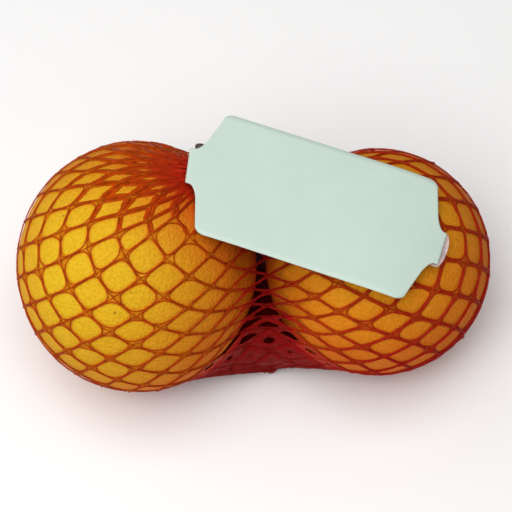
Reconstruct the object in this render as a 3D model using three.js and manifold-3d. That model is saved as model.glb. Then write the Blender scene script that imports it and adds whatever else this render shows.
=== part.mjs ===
// Two pomelos drawn tight in a knotted net sack, lying on a table with the sack's label strip uppermost.
// Millimetres, +Z up. X runs through both fruit, the label's shown face looks up.
// The origin is the centre of the pack's footprint, on the surface that it lies on.
import * as THREE from "three";
import { mergeVertices } from "three/addons/utils/BufferGeometryUtils.js";
import Module from "manifold-3d";

// ---- Driving dimensions ----
const NET_THICKNESS = 0.9; // strands over the rind
const SETTLE = 0.4; // how far the strands under each fruit are pressed flat
const LEFT_FRUIT = { length: 99.2, girth: 103.4 }; // slightly flattened, short axis along X
const RIGHT_FRUIT = { length: 93.8, girth: 93.8 };
const FRUIT_GAP = 4.0; // between the two rinds, filled by strands

const MESHES_ROUND = 26; // cells round the sack
const ROWS = 25; // half-cells from the neck to the base
const STRAND_LENGTH = 11.23; // knot to knot, unstretched, one way round
const OTHER_STRAND_LENGTH = 12.77; // the same, the other way round
const LEAST_LENGTH = 1.6; // a strand crumpled shorter than this pushes back
const CRUMPLE_PUSH = 4; // how hard, against its stretch
const SLACK_PULL = 0.22; // what still draws a slack strand together, against its stretch
const START_TURN = 5; // degrees, where the first strand starts round the sack
const TWIST = 46; // degrees, from the neck to the base
const SLACK_SACK = new THREE.Vector3(115, 75, 75); // half-sizes of the sack before it is drawn in
// Well over the table, the net between the fruit also draws in along their rinds.
const HUG = { pull: 0.3, standOff: 0.3, fullStandOff: 3.3, coreEnd: 4, low: 24, high: 44 };
const RELAX = { steps: 1600, kept: 0.6, gained: 0.16, topSpeed: 3 };
const CELL_DENT = 0.7; // how far the rind between strands lies under them
const CELL_DENT_FROM = 4; // height over the table from which it does
const ON_TABLE = 0.05; // a point lower over the table than this is pressed flat
// Where the net bridges from fruit to fruit, its cells are open down to the rind.
const WELL = { standOff: 2, wall: 0.2, core: 13, endRows: 5 };

const LABEL = {
  centre: [24.2, -0.2, 98.2],
  yaw: -20.4, // degrees, turned clockwise as seen from above
  pitch: 4.6, // degrees, its left end higher
  roll: 4.4, // degrees, its back edge higher
  bodyHalf: 44.2,
  halfWidth: 26.7,
  cornerRadius: 4.4,
  cornerShare: 0.7, // how much of that radius the corner takes off the width
  shoulderEnd: 47.6, // where the slanted shoulders meet the necks
  shoulderHalf: 12.2,
  neckStart: 51.8, // where the curve from the shoulders runs out
  leftNeckHalf: 7.5,
  rightNeckHalf: 6.9,
  tip: 52.2, // where each neck folds under
  thickness: 0.4,
  leftHemInside: 1.7, // height inside each folded hem
  rightHemInside: 0.9,
  hemLength: 6,
  bodyLean: 0.09, // how far the body's left end is skewed, per mm of width
  neckLean: 0.2, // the same at the left fold
  droopStart: 22,
  droop: 2.8, // how far the right end bends down towards the net
};
const FOLD_STEPS = 8;
const CORNER_STEPS = 6;
const FACE_STEP = 6; // between sections of the flat label
const NECK_STEP = 0.8; // between sections of its necks
const NECK = { alongLabel: -48.6, acrossLabel: 0.4, z: 96.9, top: 99.0, thin: 1.9, wide: 6.4 };
const BASE = { centre: [5.8, -27, 6], radius: 2.6, endRadius: 2.1, tail: 1.2, axis: [0.05, 0.25, -0.967] };
const WELD = { radius: 3.0, height: 2.6, sides: 24, edgeSteps: 6 };
const HEM_TAIL = {
  in: 1, // short of the hem's front end
  out: 3, // past its back end
  fromFold: 2.9,
  half: 2.6,
  widen: 0.22, // how much wider outside the hem
  swell: 0.5, // how much thicker there
  sink: 0.27, // how much lower there, clear of the label over it
  sides: 14,
  steps: 10,
};
const TIE = {
  inside: 3, // how far it reaches into the hem
  outside: 3.2,
  wider: 0.6,
  roundFrom: 0.55,
  leastWidth: 0.2,
  curl: 1.2,
  thickness: 0.5,
  steps: 10,
};
const CLEARANCE = 0.3; // between pieces that touch

const COLOURS = { net: 0xc8641e, label: 0xd2e2d8, tail: 0x3c2a22, tie: 0xe8d6da, weld: 0x8c1418 };

// ---- Places worked out from them ----
const netLength = LEFT_FRUIT.length + RIGHT_FRUIT.length + FRUIT_GAP + 2 * NET_THICKNESS;
const halves = (fruit) =>
  new THREE.Vector3(fruit.length, fruit.girth, fruit.girth).multiplyScalar(0.5).addScalar(NET_THICKNESS);
const leftHalves = halves(LEFT_FRUIT);
const rightHalves = halves(RIGHT_FRUIT);
const leftCentre = new THREE.Vector3(-netLength / 2 + leftHalves.x, 0, leftHalves.z - SETTLE);
const rightCentre = new THREE.Vector3(netLength / 2 - rightHalves.x, 0, rightHalves.z - SETTLE);
const ENVELOPES = [
  { centre: leftCentre, halves: leftHalves },
  { centre: rightCentre, halves: rightHalves },
];

const labelTurn = new THREE.Matrix4()
  .makeRotationZ(THREE.MathUtils.degToRad(LABEL.yaw))
  .multiply(new THREE.Matrix4().makeRotationY(THREE.MathUtils.degToRad(LABEL.pitch)))
  .multiply(new THREE.Matrix4().makeRotationX(THREE.MathUtils.degToRad(LABEL.roll)));
const labelPlace = new THREE.Matrix4()
  .makeTranslation(...LABEL.centre)
  .multiply(labelTurn);

const wasm = await Module();
wasm.setup();

// ---- Helpers: rings to closed meshes, and meshes to solids and back ----
function meshOf(name, geometry, colour, roughness) {
  geometry.computeVertexNormals();
  const material = new THREE.MeshStandardMaterial({ color: colour, roughness, metalness: 0 });
  const mesh = new THREE.Mesh(geometry, material);
  mesh.name = name;
  return mesh;
}

function geometryOf(points, faces) {
  const geometry = new THREE.BufferGeometry().setFromPoints(points);
  geometry.setIndex(faces.flat());
  return geometry;
}

// A closed skin through rings of equal count, with a flat fan over each end. The rings turn
// anticlockwise as seen from the last ring.
function loft(rings) {
  const count = rings[0].length;
  const points = rings.flat();
  const faces = [];
  for (let r = 0; r + 1 < rings.length; r++) {
    for (let k = 0; k < count; k++) {
      const a = r * count + k;
      const b = r * count + ((k + 1) % count);
      faces.push([a, b, b + count], [a, b + count, a + count]);
    }
  }
  const last = (rings.length - 1) * count;
  for (let k = 1; k + 1 < count; k++) {
    faces.push([0, k + 1, k], [last, last + k, last + k + 1]);
  }
  return geometryOf(points, faces);
}

function solidOf(geometry) {
  const bare = geometry.clone();
  bare.deleteAttribute("normal");
  bare.deleteAttribute("uv");
  const merged = mergeVertices(bare, 1e-3);
  return new wasm.Manifold(
    new wasm.Mesh({
      numProp: 3,
      vertProperties: merged.attributes.position.array,
      triVerts: new Uint32Array(merged.index.array),
    }),
  );
}

function geometryOfSolid(solid) {
  const mesh = solid.getMesh();
  const geometry = new THREE.BufferGeometry();
  geometry.setAttribute("position", new THREE.BufferAttribute(mesh.vertProperties, 3));
  geometry.setIndex(new THREE.BufferAttribute(mesh.triVerts, 1));
  return geometry;
}

// ---- The net: strands of one length, knotted in a diamond pattern and drawn over the fruit ----
const onLabel = (along, across, above) => new THREE.Vector3(along, across, above).applyMatrix4(labelPlace);
const neckFoot = onLabel(NECK.alongLabel, NECK.acrossLabel, 0).setZ(NECK.z);
const baseCentre = new THREE.Vector3(...BASE.centre);
const baseAxis = new THREE.Vector3(...BASE.axis).normalize();

const TURN_STEP = (2 * Math.PI) / MESHES_ROUND;
const middle = ENVELOPES[0].centre.clone().add(ENVELOPES[1].centre).multiplyScalar(0.5);
const sackAxis = neckFoot.clone().sub(middle).normalize();
sackAxis.sub(baseCentre.clone().sub(middle).normalize()).normalize();
const roundX = new THREE.Vector3(1, 0, 0).projectOnPlane(sackAxis).normalize();
const roundY = new THREE.Vector3().crossVectors(sackAxis, roundX);

function pushOut(point, inset = 0) {
  for (const { centre, halves } of ENVELOPES) {
    const reach = halves.clone().subScalar(inset);
    const offset = point.clone().sub(centre).divide(reach);
    const depth = offset.length();
    if (depth < 1) point.copy(offset.divideScalar(depth).multiply(reach).add(centre));
  }
  return point;
}

// How far a point stands off the nearer fruit.
function standOff(point) {
  const distances = ENVELOPES.map(({ centre, halves }) => {
    const depth = point.clone().sub(centre).divide(halves).length();
    return (depth - 1) * halves.z;
  });
  return Math.min(...distances);
}

// The point of the line through both fruit that is level with another along X.
function spineAt(point) {
  const [left, right] = ENVELOPES;
  const share = (point.x - left.centre.x) / (right.centre.x - left.centre.x);
  return left.centre.clone().lerp(right.centre, share).setX(point.x);
}

const ramp = (value, start, end) => THREE.MathUtils.clamp((value - start) / (end - start), 0, 1);

// What draws a knot between the fruit in towards the line through them.
function inwardPull(knot) {
  const out = knot.clone().sub(spineAt(knot));
  const reach = out.length();
  const free = ramp(standOff(knot), HUG.standOff, HUG.fullStandOff);
  const outside = ramp(reach, WELL.core, WELL.core + HUG.coreEnd);
  return out.multiplyScalar((-HUG.pull * free * outside * ramp(knot.z, HUG.low, HUG.high)) / reach);
}

const turnOf = (column, row) =>
  (column + 0.5 * (row % 2)) * TURN_STEP +
  THREE.MathUtils.degToRad(START_TURN + TWIST * (row / ROWS - 0.5));
const directionOf = (turn) =>
  roundX.clone().multiplyScalar(Math.cos(turn)).addScaledVector(roundY, Math.sin(turn));

function neckPoint(column, z) {
  const heading = directionOf(turnOf(column, 0));
  const yaw = THREE.MathUtils.degToRad(LABEL.yaw);
  const thin = new THREE.Vector3(Math.cos(yaw), Math.sin(yaw), 0);
  const wide = new THREE.Vector3(-Math.sin(yaw), Math.cos(yaw), 0);
  const turn = Math.atan2(heading.dot(wide), heading.dot(thin));
  return neckFoot
    .clone()
    .setZ(z)
    .addScaledVector(thin, NECK.thin * Math.cos(turn))
    .addScaledVector(wide, NECK.wide * Math.sin(turn));
}

function basePoint(column, reach, radius) {
  const heading = directionOf(turnOf(column, ROWS)).projectOnPlane(baseAxis).normalize();
  return baseCentre.clone().addScaledVector(baseAxis, reach).addScaledVector(heading, radius);
}

function slackKnot(column, row) {
  const lean = (Math.PI * row) / ROWS;
  const heading = directionOf(turnOf(column, row)).multiplyScalar(Math.sin(lean));
  return heading
    .addScaledVector(sackAxis, Math.cos(lean))
    .multiply(SLACK_SACK)
    .add(middle);
}

function strandsBetween(knots) {
  const strands = [];
  for (let row = 0; row < ROWS; row++) {
    for (let column = 0; column < MESHES_ROUND; column++) {
      const upper = knots[row][column];
      const even = row % 2 === 0;
      const other = (column + (even ? -1 : 1) + MESHES_ROUND) % MESHES_ROUND;
      const [length, otherLength] = even
        ? [STRAND_LENGTH, OTHER_STRAND_LENGTH]
        : [OTHER_STRAND_LENGTH, STRAND_LENGTH];
      strands.push({ upper, lower: knots[row + 1][column], length });
      strands.push({ upper, lower: knots[row + 1][other], length: otherLength });
    }
  }
  return strands;
}

// Draws the knots together until every strand's pull balances, with the fruit and the table in the way.
function drawnNet() {
  const knots = [];
  for (let row = 0; row <= ROWS; row++) {
    const ring = [];
    for (let column = 0; column < MESHES_ROUND; column++) {
      if (row === 0) ring.push(neckPoint(column, NECK.z));
      else if (row === ROWS) ring.push(basePoint(column, 0, BASE.radius));
      else ring.push(slackKnot(column, row));
    }
    knots.push(ring);
  }
  const free = knots.slice(1, ROWS).flat();
  free.forEach((knot) => (knot.speed = new THREE.Vector3()));
  const pulls = new Map(knots.flat().map((knot) => [knot, new THREE.Vector3()]));
  const strands = strandsBetween(knots);
  const along = new THREE.Vector3();
  for (let step = 0; step < RELAX.steps; step++) {
    pulls.forEach((pull) => pull.set(0, 0, 0));
    for (const { upper, lower, length } of strands) {
      along.subVectors(lower, upper);
      const drawn = along.length();
      const stretch = Math.max(0, drawn - length) + CRUMPLE_PUSH * Math.min(0, drawn - LEAST_LENGTH);
      along.multiplyScalar((SLACK_PULL + stretch) / drawn);
      pulls.get(upper).add(along);
      pulls.get(lower).sub(along);
    }
    for (const knot of free) {
      pulls.get(knot).add(inwardPull(knot));
      knot.speed.multiplyScalar(RELAX.kept).addScaledVector(pulls.get(knot), RELAX.gained);
      knot.speed.clampLength(0, RELAX.topSpeed);
      pushOut(knot.add(knot.speed));
      knot.z = Math.max(knot.z, 0);
    }
  }
  return knots;
}

// How far out a ray from a point inside leaves a fruit, the dent under its skin taken off.
function exitDistance(start, direction, { centre, halves }) {
  const from = start.clone().sub(centre).divide(halves);
  const way = direction.clone().divide(halves);
  const squared = way.lengthSq();
  const half = from.dot(way);
  const inner = 1 - CELL_DENT / halves.z;
  const root = half * half - squared * (from.lengthSq() - inner * inner);
  return root < 0 ? 0 : (Math.sqrt(root) - half) / squared;
}

// Moves a point straight in towards the line through both fruit, down to the rind or the core.
function sunk(point) {
  const spine = spineAt(point);
  const out = point.clone().sub(spine);
  const reach = out.length();
  out.divideScalar(reach);
  const rinds = ENVELOPES.map((fruit) => exitDistance(spine, out, fruit));
  return spine.addScaledVector(out, Math.min(reach, Math.max(WELL.core, ...rinds)));
}

// The sack as one closed solid: a ridge along each strand, the rind a little lower in each cell.
function filledNet() {
  const knots = drawnNet();
  const points = [];
  const faces = [];
  const add = (point) => {
    if (point.z < ON_TABLE) point.z = Math.min(point.z, -ON_TABLE);
    return points.push(point) - 1;
  };
  const knotIndex = knots.map((ring) => ring.map(add));
  const columnAt = (half, row) => {
    const column = Math.floor((half - (row % 2)) / 2);
    return (column + MESHES_ROUND) % MESHES_ROUND;
  };
  const knot = (half, row) => knotIndex[row][columnAt(half + 2 * MESHES_ROUND, row)];
  const middles = new Map();
  const middleOf = (a, b) => {
    const key = Math.min(a, b) + ":" + Math.max(a, b);
    if (!middles.has(key)) middles.set(key, add(pushOut(points[a].clone().lerp(points[b], 0.5))));
    return middles.get(key);
  };
  for (let row = 1; row < ROWS; row++) {
    for (let half = 1 - (row % 2); half < 2 * MESHES_ROUND; half += 2) {
      const corners = [knot(half, row - 1), knot(half - 1, row), knot(half, row + 1), knot(half + 1, row)];
      const heart = new THREE.Vector3();
      corners.forEach((corner) => heart.addScaledVector(points[corner], 0.25));
      const bridging = standOff(heart) > WELL.standOff && row >= WELL.endRows && row <= ROWS - WELL.endRows;
      if (bridging) {
        const centre = add(sunk(heart));
        const floor = corners.map((corner) => add(sunk(points[corner].clone().lerp(heart, WELL.wall))));
        corners.forEach((corner, k) => {
          const next = corners[(k + 1) % 4];
          const edge = middleOf(corner, next);
          const [near, far] = [floor[k], floor[(k + 1) % 4]];
          faces.push([near, corner, edge], [near, edge, far], [far, edge, next], [centre, near, far]);
        });
      } else {
        const centre = add(pushOut(heart, heart.z > CELL_DENT_FROM ? CELL_DENT : 0));
        corners.forEach((corner, k) => {
          const next = corners[(k + 1) % 4];
          const edge = middleOf(corner, next);
          faces.push([centre, corner, edge], [centre, edge, next]);
        });
      }
    }
  }
  // The neck above the first row of knots and the short tail under the last one.
  const neckRing = knotIndex[0];
  const neckTop = neckRing.map((_, column) => add(neckPoint(column, NECK.top)));
  const tailRing = knotIndex[ROWS];
  const tailEnd = tailRing.map((_, column) => add(basePoint(column, BASE.tail, BASE.endRadius)));
  for (let column = 0; column < MESHES_ROUND; column++) {
    const next = (column + 1) % MESHES_ROUND;
    const below = knot(2 * column + 1, 1);
    const first = middleOf(neckRing[column], below);
    const second = middleOf(neckRing[next], below);
    faces.push([neckRing[column], first, neckRing[next]], [neckRing[next], first, second]);
    faces.push([first, below, second]);
    faces.push([neckRing[column], neckRing[next], neckTop[next]]);
    faces.push([neckRing[column], neckTop[next], neckTop[column]]);
    const tailHalf = 2 * column + (ROWS % 2);
    const above = knot(tailHalf + 1, ROWS - 1);
    const left = middleOf(tailRing[column], above);
    const right = middleOf(tailRing[next], above);
    faces.push([tailRing[next], left, tailRing[column]], [tailRing[next], right, left]);
    faces.push([right, above, left]);
    faces.push([tailRing[next], tailRing[column], tailEnd[column]]);
    faces.push([tailRing[next], tailEnd[column], tailEnd[next]]);
  }
  for (let k = 1; k + 1 < MESHES_ROUND; k++) {
    faces.push([neckTop[0], neckTop[k], neckTop[k + 1]], [tailEnd[0], tailEnd[k + 1], tailEnd[k]]);
  }
  const table = new THREE.BoxGeometry(2 * netLength, netLength, netLength).translate(0, 0, -netLength / 2);
  const settled = solidOf(geometryOf(points, faces)).subtract(solidOf(table));
  return geometryOfSolid(settled);
}

// ---- The label: one strip of coated paper with a narrow neck at each end, folded under as a hem ----
const smooth = (from, to, value) => {
  const t = THREE.MathUtils.clamp((value - from) / (to - from), 0, 1);
  return t * t * (3 - 2 * t);
};

function halfWidthAt(along, neckHalf) {
  const reach = Math.abs(along);
  const { bodyHalf, halfWidth, cornerRadius, cornerShare, shoulderEnd, shoulderHalf, neckStart } = LABEL;
  const cornerStart = bodyHalf - cornerRadius;
  if (reach <= cornerStart) return halfWidth;
  if (reach <= bodyHalf) {
    const turn = Math.asin((reach - cornerStart) / cornerRadius);
    return halfWidth - cornerRadius * cornerShare * (1 - Math.cos(turn));
  }
  const bodyEnd = halfWidth - cornerRadius * cornerShare;
  if (reach <= shoulderEnd) {
    return THREE.MathUtils.mapLinear(reach, bodyHalf, shoulderEnd, bodyEnd, shoulderHalf);
  }
  const left = 1 - THREE.MathUtils.clamp((reach - shoulderEnd) / (neckStart - shoulderEnd), 0, 1);
  return neckHalf + (shoulderHalf - neckHalf) * left ** 2;
}

function droopAt(along) {
  const share = Math.max(0, (along - LABEL.droopStart) / (LABEL.tip - LABEL.droopStart));
  return LABEL.droop * share ** 2;
}

function leanAt(along) {
  const { bodyHalf, bodyLean, neckLean, tip } = LABEL;
  const body = (bodyLean * (tip - along)) / (2 * tip);
  return -THREE.MathUtils.lerp(body, neckLean, smooth(bodyHalf, tip, -along));
}

// The strip's course in its own lengthwise section: flap, fold, face, fold, flap.
function labelCourse() {
  const { tip, hemLength, thickness, bodyHalf, cornerRadius, shoulderEnd } = LABEL;
  const course = [];
  const leftFold = (LABEL.leftHemInside + thickness) / 2;
  for (const along of [-tip + hemLength, -tip + hemLength / 2]) {
    course.push({ along, above: -2 * leftFold, facing: -1 });
  }
  for (let k = 0; k <= FOLD_STEPS; k++) {
    const side = -Math.sin((Math.PI * k) / FOLD_STEPS);
    const facing = -Math.cos((Math.PI * k) / FOLD_STEPS);
    course.push({ along: -tip + leftFold * side, above: leftFold * (facing - 1), facing, side });
  }
  const stops = [];
  for (let reach = 0; reach < bodyHalf - cornerRadius; reach += FACE_STEP) stops.push(reach);
  for (let k = 0; k <= CORNER_STEPS; k++) {
    stops.push(bodyHalf - cornerRadius * (1 - Math.sin((Math.PI * k) / (2 * CORNER_STEPS))));
  }
  for (let reach = shoulderEnd; reach < tip; reach += NECK_STEP) stops.push(reach);
  const face = [...new Set([...stops.map((stop) => -stop), ...stops])].sort((a, b) => a - b);
  for (const along of face) course.push({ along, above: 0, facing: 1 });
  const rightFold = (LABEL.rightHemInside + thickness) / 2;
  for (let k = 0; k <= FOLD_STEPS; k++) {
    const side = Math.sin((Math.PI * k) / FOLD_STEPS);
    const facing = Math.cos((Math.PI * k) / FOLD_STEPS);
    course.push({ along: tip + rightFold * side, above: rightFold * (facing - 1), facing, side });
  }
  for (const along of [tip - hemLength / 2, tip - hemLength]) {
    course.push({ along, above: -2 * rightFold, facing: -1 });
  }
  return course;
}

function labelStrip() {
  const half = LABEL.thickness / 2;
  const rings = labelCourse().map(({ along, above, facing, side = 0 }) => {
    const neckHalf = along < 0 ? LABEL.leftNeckHalf : LABEL.rightNeckHalf;
    const width = facing < 1 ? neckHalf : halfWidthAt(along, neckHalf);
    const corner = (across, out) =>
      onLabel(
        along + out * side + leanAt(along) * across,
        across,
        above + out * facing - droopAt(along),
      );
    return [corner(width, half), corner(-width, half), corner(-width, -half), corner(width, -half)];
  });
  return loft(rings);
}

// ---- The ends: the net's cut tail in the left hem, the clear tie at the right, the weld under the base ----
function ovalRing(centre, first, second, count) {
  const ring = [];
  for (let k = 0; k < count; k++) {
    const turn = (2 * Math.PI * k) / count;
    ring.push(centre.clone().addScaledVector(first, Math.cos(turn)).addScaledVector(second, Math.sin(turn)));
  }
  return ring;
}

function hemTail() {
  const { tip, leftHemInside, leftNeckHalf, thickness } = LABEL;
  const lengthwise = new THREE.Vector3(1, 0, 0).transformDirection(labelPlace);
  const upwards = new THREE.Vector3(0, 0, 1).transformDirection(labelPlace);
  const rings = [];
  for (let k = 0; k <= HEM_TAIL.steps; k++) {
    const share = k / HEM_TAIL.steps;
    const across = THREE.MathUtils.lerp(-leftNeckHalf + HEM_TAIL.in, leftNeckHalf + HEM_TAIL.out, share);
    const outside = smooth(leftNeckHalf - CLEARANCE, leftNeckHalf + 0.8 * HEM_TAIL.out, across);
    const along = -tip + HEM_TAIL.fromFold + leanAt(-tip) * across;
    const thick = (leftHemInside / 2 - CLEARANCE) * (1 + HEM_TAIL.swell * outside);
    const centre = onLabel(along, across, -(thickness + leftHemInside) / 2 - HEM_TAIL.sink * outside);
    const wide = HEM_TAIL.half * (1 + HEM_TAIL.widen * outside);
    const up = upwards.clone().multiplyScalar(thick);
    rings.push(ovalRing(centre, up, lengthwise.clone().multiplyScalar(wide), HEM_TAIL.sides));
  }
  return loft(rings);
}

function clearTie() {
  const { tip, rightNeckHalf, rightHemInside, thickness } = LABEL;
  const under = -thickness * 1.5 - rightHemInside - CLEARANCE;
  const rings = [];
  for (let k = 0; k <= TIE.steps; k++) {
    const share = k / TIE.steps;
    const along = THREE.MathUtils.lerp(tip - TIE.inside, tip + TIE.outside, share);
    const rounding = Math.max(0, (share - TIE.roundFrom) / (1 - TIE.roundFrom));
    const width = (rightNeckHalf + TIE.wider) * Math.max(TIE.leastWidth, Math.sqrt(1 - rounding ** 2));
    const height = under + TIE.curl * smooth(TIE.roundFrom, 1, share) - droopAt(Math.min(along, tip));
    const corner = (across, above) => onLabel(along, across, height + above);
    const upper = [corner(width, 0), corner(-width, 0)];
    rings.push([...upper, corner(-width, -TIE.thickness), corner(width, -TIE.thickness)]);
  }
  return loft(rings);
}

function baseWeld() {
  const { radius, height, edgeSteps } = WELD;
  const round = height / 2;
  const profile = [new THREE.Vector2(0, 0)];
  for (let k = 0; k <= edgeSteps; k++) {
    const turn = Math.PI * (k / edgeSteps - 0.5);
    profile.push(new THREE.Vector2(radius - round + round * Math.cos(turn), round + round * Math.sin(turn)));
  }
  profile.push(new THREE.Vector2(0, height));
  return new THREE.LatheGeometry(profile, WELD.sides);
}

// ---- The pack ----
const pack = new THREE.Group();
pack.add(meshOf("filled_net", filledNet(), COLOURS.net, 0.45));
pack.add(meshOf("label", labelStrip(), COLOURS.label, 0.5));
pack.add(meshOf("hem_tail", hemTail(), COLOURS.tail, 0.7));
pack.add(meshOf("clear_tie", clearTie(), COLOURS.tie, 0.2));

const weld = meshOf("base_weld", baseWeld(), COLOURS.weld, 0.25);
weld.position.copy(baseCentre).addScaledVector(baseAxis, BASE.tail + CLEARANCE);
weld.quaternion.setFromUnitVectors(new THREE.Vector3(0, 1, 0), baseAxis);
pack.add(weld);

export default pack;
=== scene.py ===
"""Two pomelos drawn tight in a knotted net sack, lying on a table with the sack's label strip uppermost.

The sack is one diamond net. Its knots are drawn together over the fruit until every strand's pull
balances, and everything that belongs to the net follows those knots. Metres, +Z up, X through both fruit.
"""

import math

import bpy
import numpy as np
from bpy.props import FloatProperty, FloatVectorProperty, IntProperty, PointerProperty
from mathutils import Matrix, Vector, kdtree


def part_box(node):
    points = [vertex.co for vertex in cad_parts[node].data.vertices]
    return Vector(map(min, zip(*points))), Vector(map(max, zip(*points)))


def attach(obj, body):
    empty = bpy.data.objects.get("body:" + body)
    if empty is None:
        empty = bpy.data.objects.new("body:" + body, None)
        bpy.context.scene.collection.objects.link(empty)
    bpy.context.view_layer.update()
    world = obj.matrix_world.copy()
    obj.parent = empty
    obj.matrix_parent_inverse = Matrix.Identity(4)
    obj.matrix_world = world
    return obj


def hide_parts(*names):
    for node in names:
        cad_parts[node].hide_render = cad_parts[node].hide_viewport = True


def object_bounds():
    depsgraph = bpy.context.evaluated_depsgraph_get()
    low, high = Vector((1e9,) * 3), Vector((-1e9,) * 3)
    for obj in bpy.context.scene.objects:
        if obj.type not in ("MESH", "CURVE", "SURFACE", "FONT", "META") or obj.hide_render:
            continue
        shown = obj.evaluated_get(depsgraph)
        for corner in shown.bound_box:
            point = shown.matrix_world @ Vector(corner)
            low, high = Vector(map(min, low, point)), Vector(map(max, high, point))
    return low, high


bl_info = {
    "name": "Net of pomelos",
    "version": (1, 0, 0),
    "blender": (4, 5, 0),
    "location": "3D View > Sidebar > Pomelos",
    "description": "Makes a net sack with two pomelos, its label strip and its ties",
    "category": "Add Mesh",
}

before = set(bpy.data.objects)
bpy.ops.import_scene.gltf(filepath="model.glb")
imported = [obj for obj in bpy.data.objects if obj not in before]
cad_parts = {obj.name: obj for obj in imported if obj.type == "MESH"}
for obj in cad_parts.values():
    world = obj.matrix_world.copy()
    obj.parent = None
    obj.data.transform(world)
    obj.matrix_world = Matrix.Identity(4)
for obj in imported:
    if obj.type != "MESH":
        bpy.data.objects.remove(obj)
CAD_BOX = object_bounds()
BODY = "root"
MM = 0.001

# ---- Places on the pack, in metres ----
LABEL_CENTRE_OFFSET = (-0.0003, -0.0004, 0.0016)  # from the middle of its box to the middle of its face
NECK_ALONG = -0.0486  # where the gathered neck enters the left hem, on the label
NECK_ACROSS = 0.0004
NECK_HEIGHT = 0.0969  # where the net is gathered, over the table
NECK_TOP = 0.0990  # where its threads end inside the hem
NECK_THIN = 0.0019  # half-sizes of the gathered neck's oval
NECK_WIDE = 0.0064
BASE_AXIS = np.array(Vector((0.05, 0.25, -0.967)).normalized())
BASE_RADIUS = 0.0026
BASE_END_RADIUS = 0.0021
BASE_TAIL = 0.0012  # from the last knots to the threads' ends
BASE_GAP = 0.0003
WELD_HEIGHT = 0.0026
WELD_RADIUS = 0.0030

# ---- How the net is drawn together ----
SLACK_HALVES = (0.115, 0.075, 0.075)  # the sack before it is drawn in
CRUMPLE_PUSH = 4  # how hard a crumpled strand pushes back, against its stretch
HUG_PULL = 0.0003  # what draws the net along the rinds between the fruit, as a strand's stretch
HUG_STAND_OFF = (0.0003, 0.0033)  # none and all of it, by how far the net stands off
HUG_CORE = (0.013, 0.017)  # by the distance from the line through both fruit
HUG_HEIGHT = (0.024, 0.044)  # by the height over the table
SPEED_KEPT = 0.6
SPEED_GAINED = 0.16
TOP_SPEED = 0.003

# ---- The net's threads ----
NET_SEED = 41
KNOT_SHARE_SPREAD = 0.08
KNOT_SHARE_LIMITS = (0.18, 0.44)
STRAY = 0.0003  # how far a knot strays from its place
STRAY_BETWEEN = 0.3  # how much of that a thread strays between its knots
OUTWARD_BLEND = 0.0025  # how gradually the way out turns from one fruit's to the other's
HEAVIER = 0.45  # how much thicker the threads lie over the smaller fruit
BESIDE = 1.1  # how far a cell's thread lies beside its strand, in thread radii
BESIDE_MORE = 0.8  # how much more over the smaller fruit
BESIDE_MOST = 0.4  # the most of the way to the cell's middle
CORNER_BULGE = (0.05, 0.75)  # how far a cell's thread swings out at a corner, from its chord to the knot
LOOP_LIFT = (0.95, 1.5)  # heights over the rind, in thread radii
STRAND_LIFT = 2.2
KNOT_LIFTS = (1.0, 2.7)  # the threads one way pass under those that run the other way
TABLE_LIFT = 1.15
THREAD_FLATNESS = 0.8
THREAD_SIDES = 5
WEIGHT_LIMITS = (0.6, 1.5)
LOOP_WEIGHT_SPREAD = 0.2
STRAND_WEIGHT_SPREAD = 0.22

# ---- Where the net is bunched, and where painted shade deepens its colour in the groove, under the pack, on its lower flanks and over the smaller fruit: each pair is where that starts and is complete ----
# painted shade where the net stands off the rind
STAND_OFF_SHADE = (0.0005, 0.003)
BUNCHED_NECK = (0.004, 0.031)  # from the neck
BUNCHED_AT_NECK = 0.95
GROOVE_SHADE_REACH = (0.006, 0.026)  # painted shade, to each side of where the fruit touch
BUNCHED_SHADE = 0.5
UNDER_SHADE_REACH = (0.030, 0.065)  # painted shade under the pack, to each side of where the fruit touch, close to the table
UNDER_SHADE_HEIGHT = (0.008, 0.026)
FLANK_SHADE_FACING = (0.1, 0.75)  # painted shade on the flanks, by how far the net faces up
# how deep the painted shade on the lower flanks gets
FLANK_PAINTED_SHADE = 0.38
SMALLER_SHADE_AND_THICKER = 0.6  # painted shade all over the smaller fruit, further from the lights, and its closer, thicker strands
THREAD_PAINTED_SHADE = 0.68  # painted shade: how dark the threads get deep in the groove, against their bunched colour
SLACK_PAINTED_SHADE = 0.56  # painted shade, the same for the slack tape behind them

# ---- The net's flattened and slack tape ----
FILM_MISSING = 0.12  # share of the knots' corners without tape
FILM_THICKNESS = 0.00008
FILM_BULGE = 0.2  # how far a knot's tape draws back from the thread across it, towards the knot
FILM_LIFTS = (3.0, 1.6, 0.8, 1.6, 1.5)  # at the knot, beside it, across from it, beside it and in the middle
GATHER_FROM = 0.0009  # how far a bridging cell's furthest knot stands off when its tape is slack and wide
GATHER_FROM_HIGH = 0.0068  # more over the rind, high up in front
GATHER_LYING = (0.035, 0.058)  # heights between which the cells beside the groove no longer close
GATHER_HEIGHT = (0.027, 0.053)  # heights between which the cells in the groove open
GATHER_OPEN = 0.8  # share of a slack cell that its flattened tape leaves open
GATHER_CLOSED = 0.03  # the same low down and close to the base
GATHER_BEHIND = 0.4  # how far the cells behind open, against those in front
GATHER_ROWS = (8, 2)  # rows before the base between which the cells close
GATHER_ROUNDED = 0.78  # how far an opening reaches into its corners
GATHER_SPREAD = (0.85, 1.12)  # how much the openings differ, and how ragged their rims are
GATHER_RAGGED = (0.9, 1.1)
GATHER_CRUMPLE = 0.0004
GATHER_CALM = 0.3  # how much of the crumple is left low down
CRUMPLE_RINGS = (0.0, 1.0, 0.6)  # how much of it at a cell's sides, half-way in and at its opening
NECK_ROWS = 4  # rows from the neck in which the tape is gathered
NECK_OPEN = 0.95
NECK_OPENING = 0.8  # how soon the neck's cells open: an exponent
NECK_ROUNDED = 1.02
CELL_POINTS = 12  # points round a cell's slack tape, as many on each of its four sides
# Its rings are the side, the half-way line and the opening, below and then above. Each pair makes a band.
TAPE_BANDS = ((3, 4), (4, 5), (1, 0), (2, 1), (0, 3), (5, 2))

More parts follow.
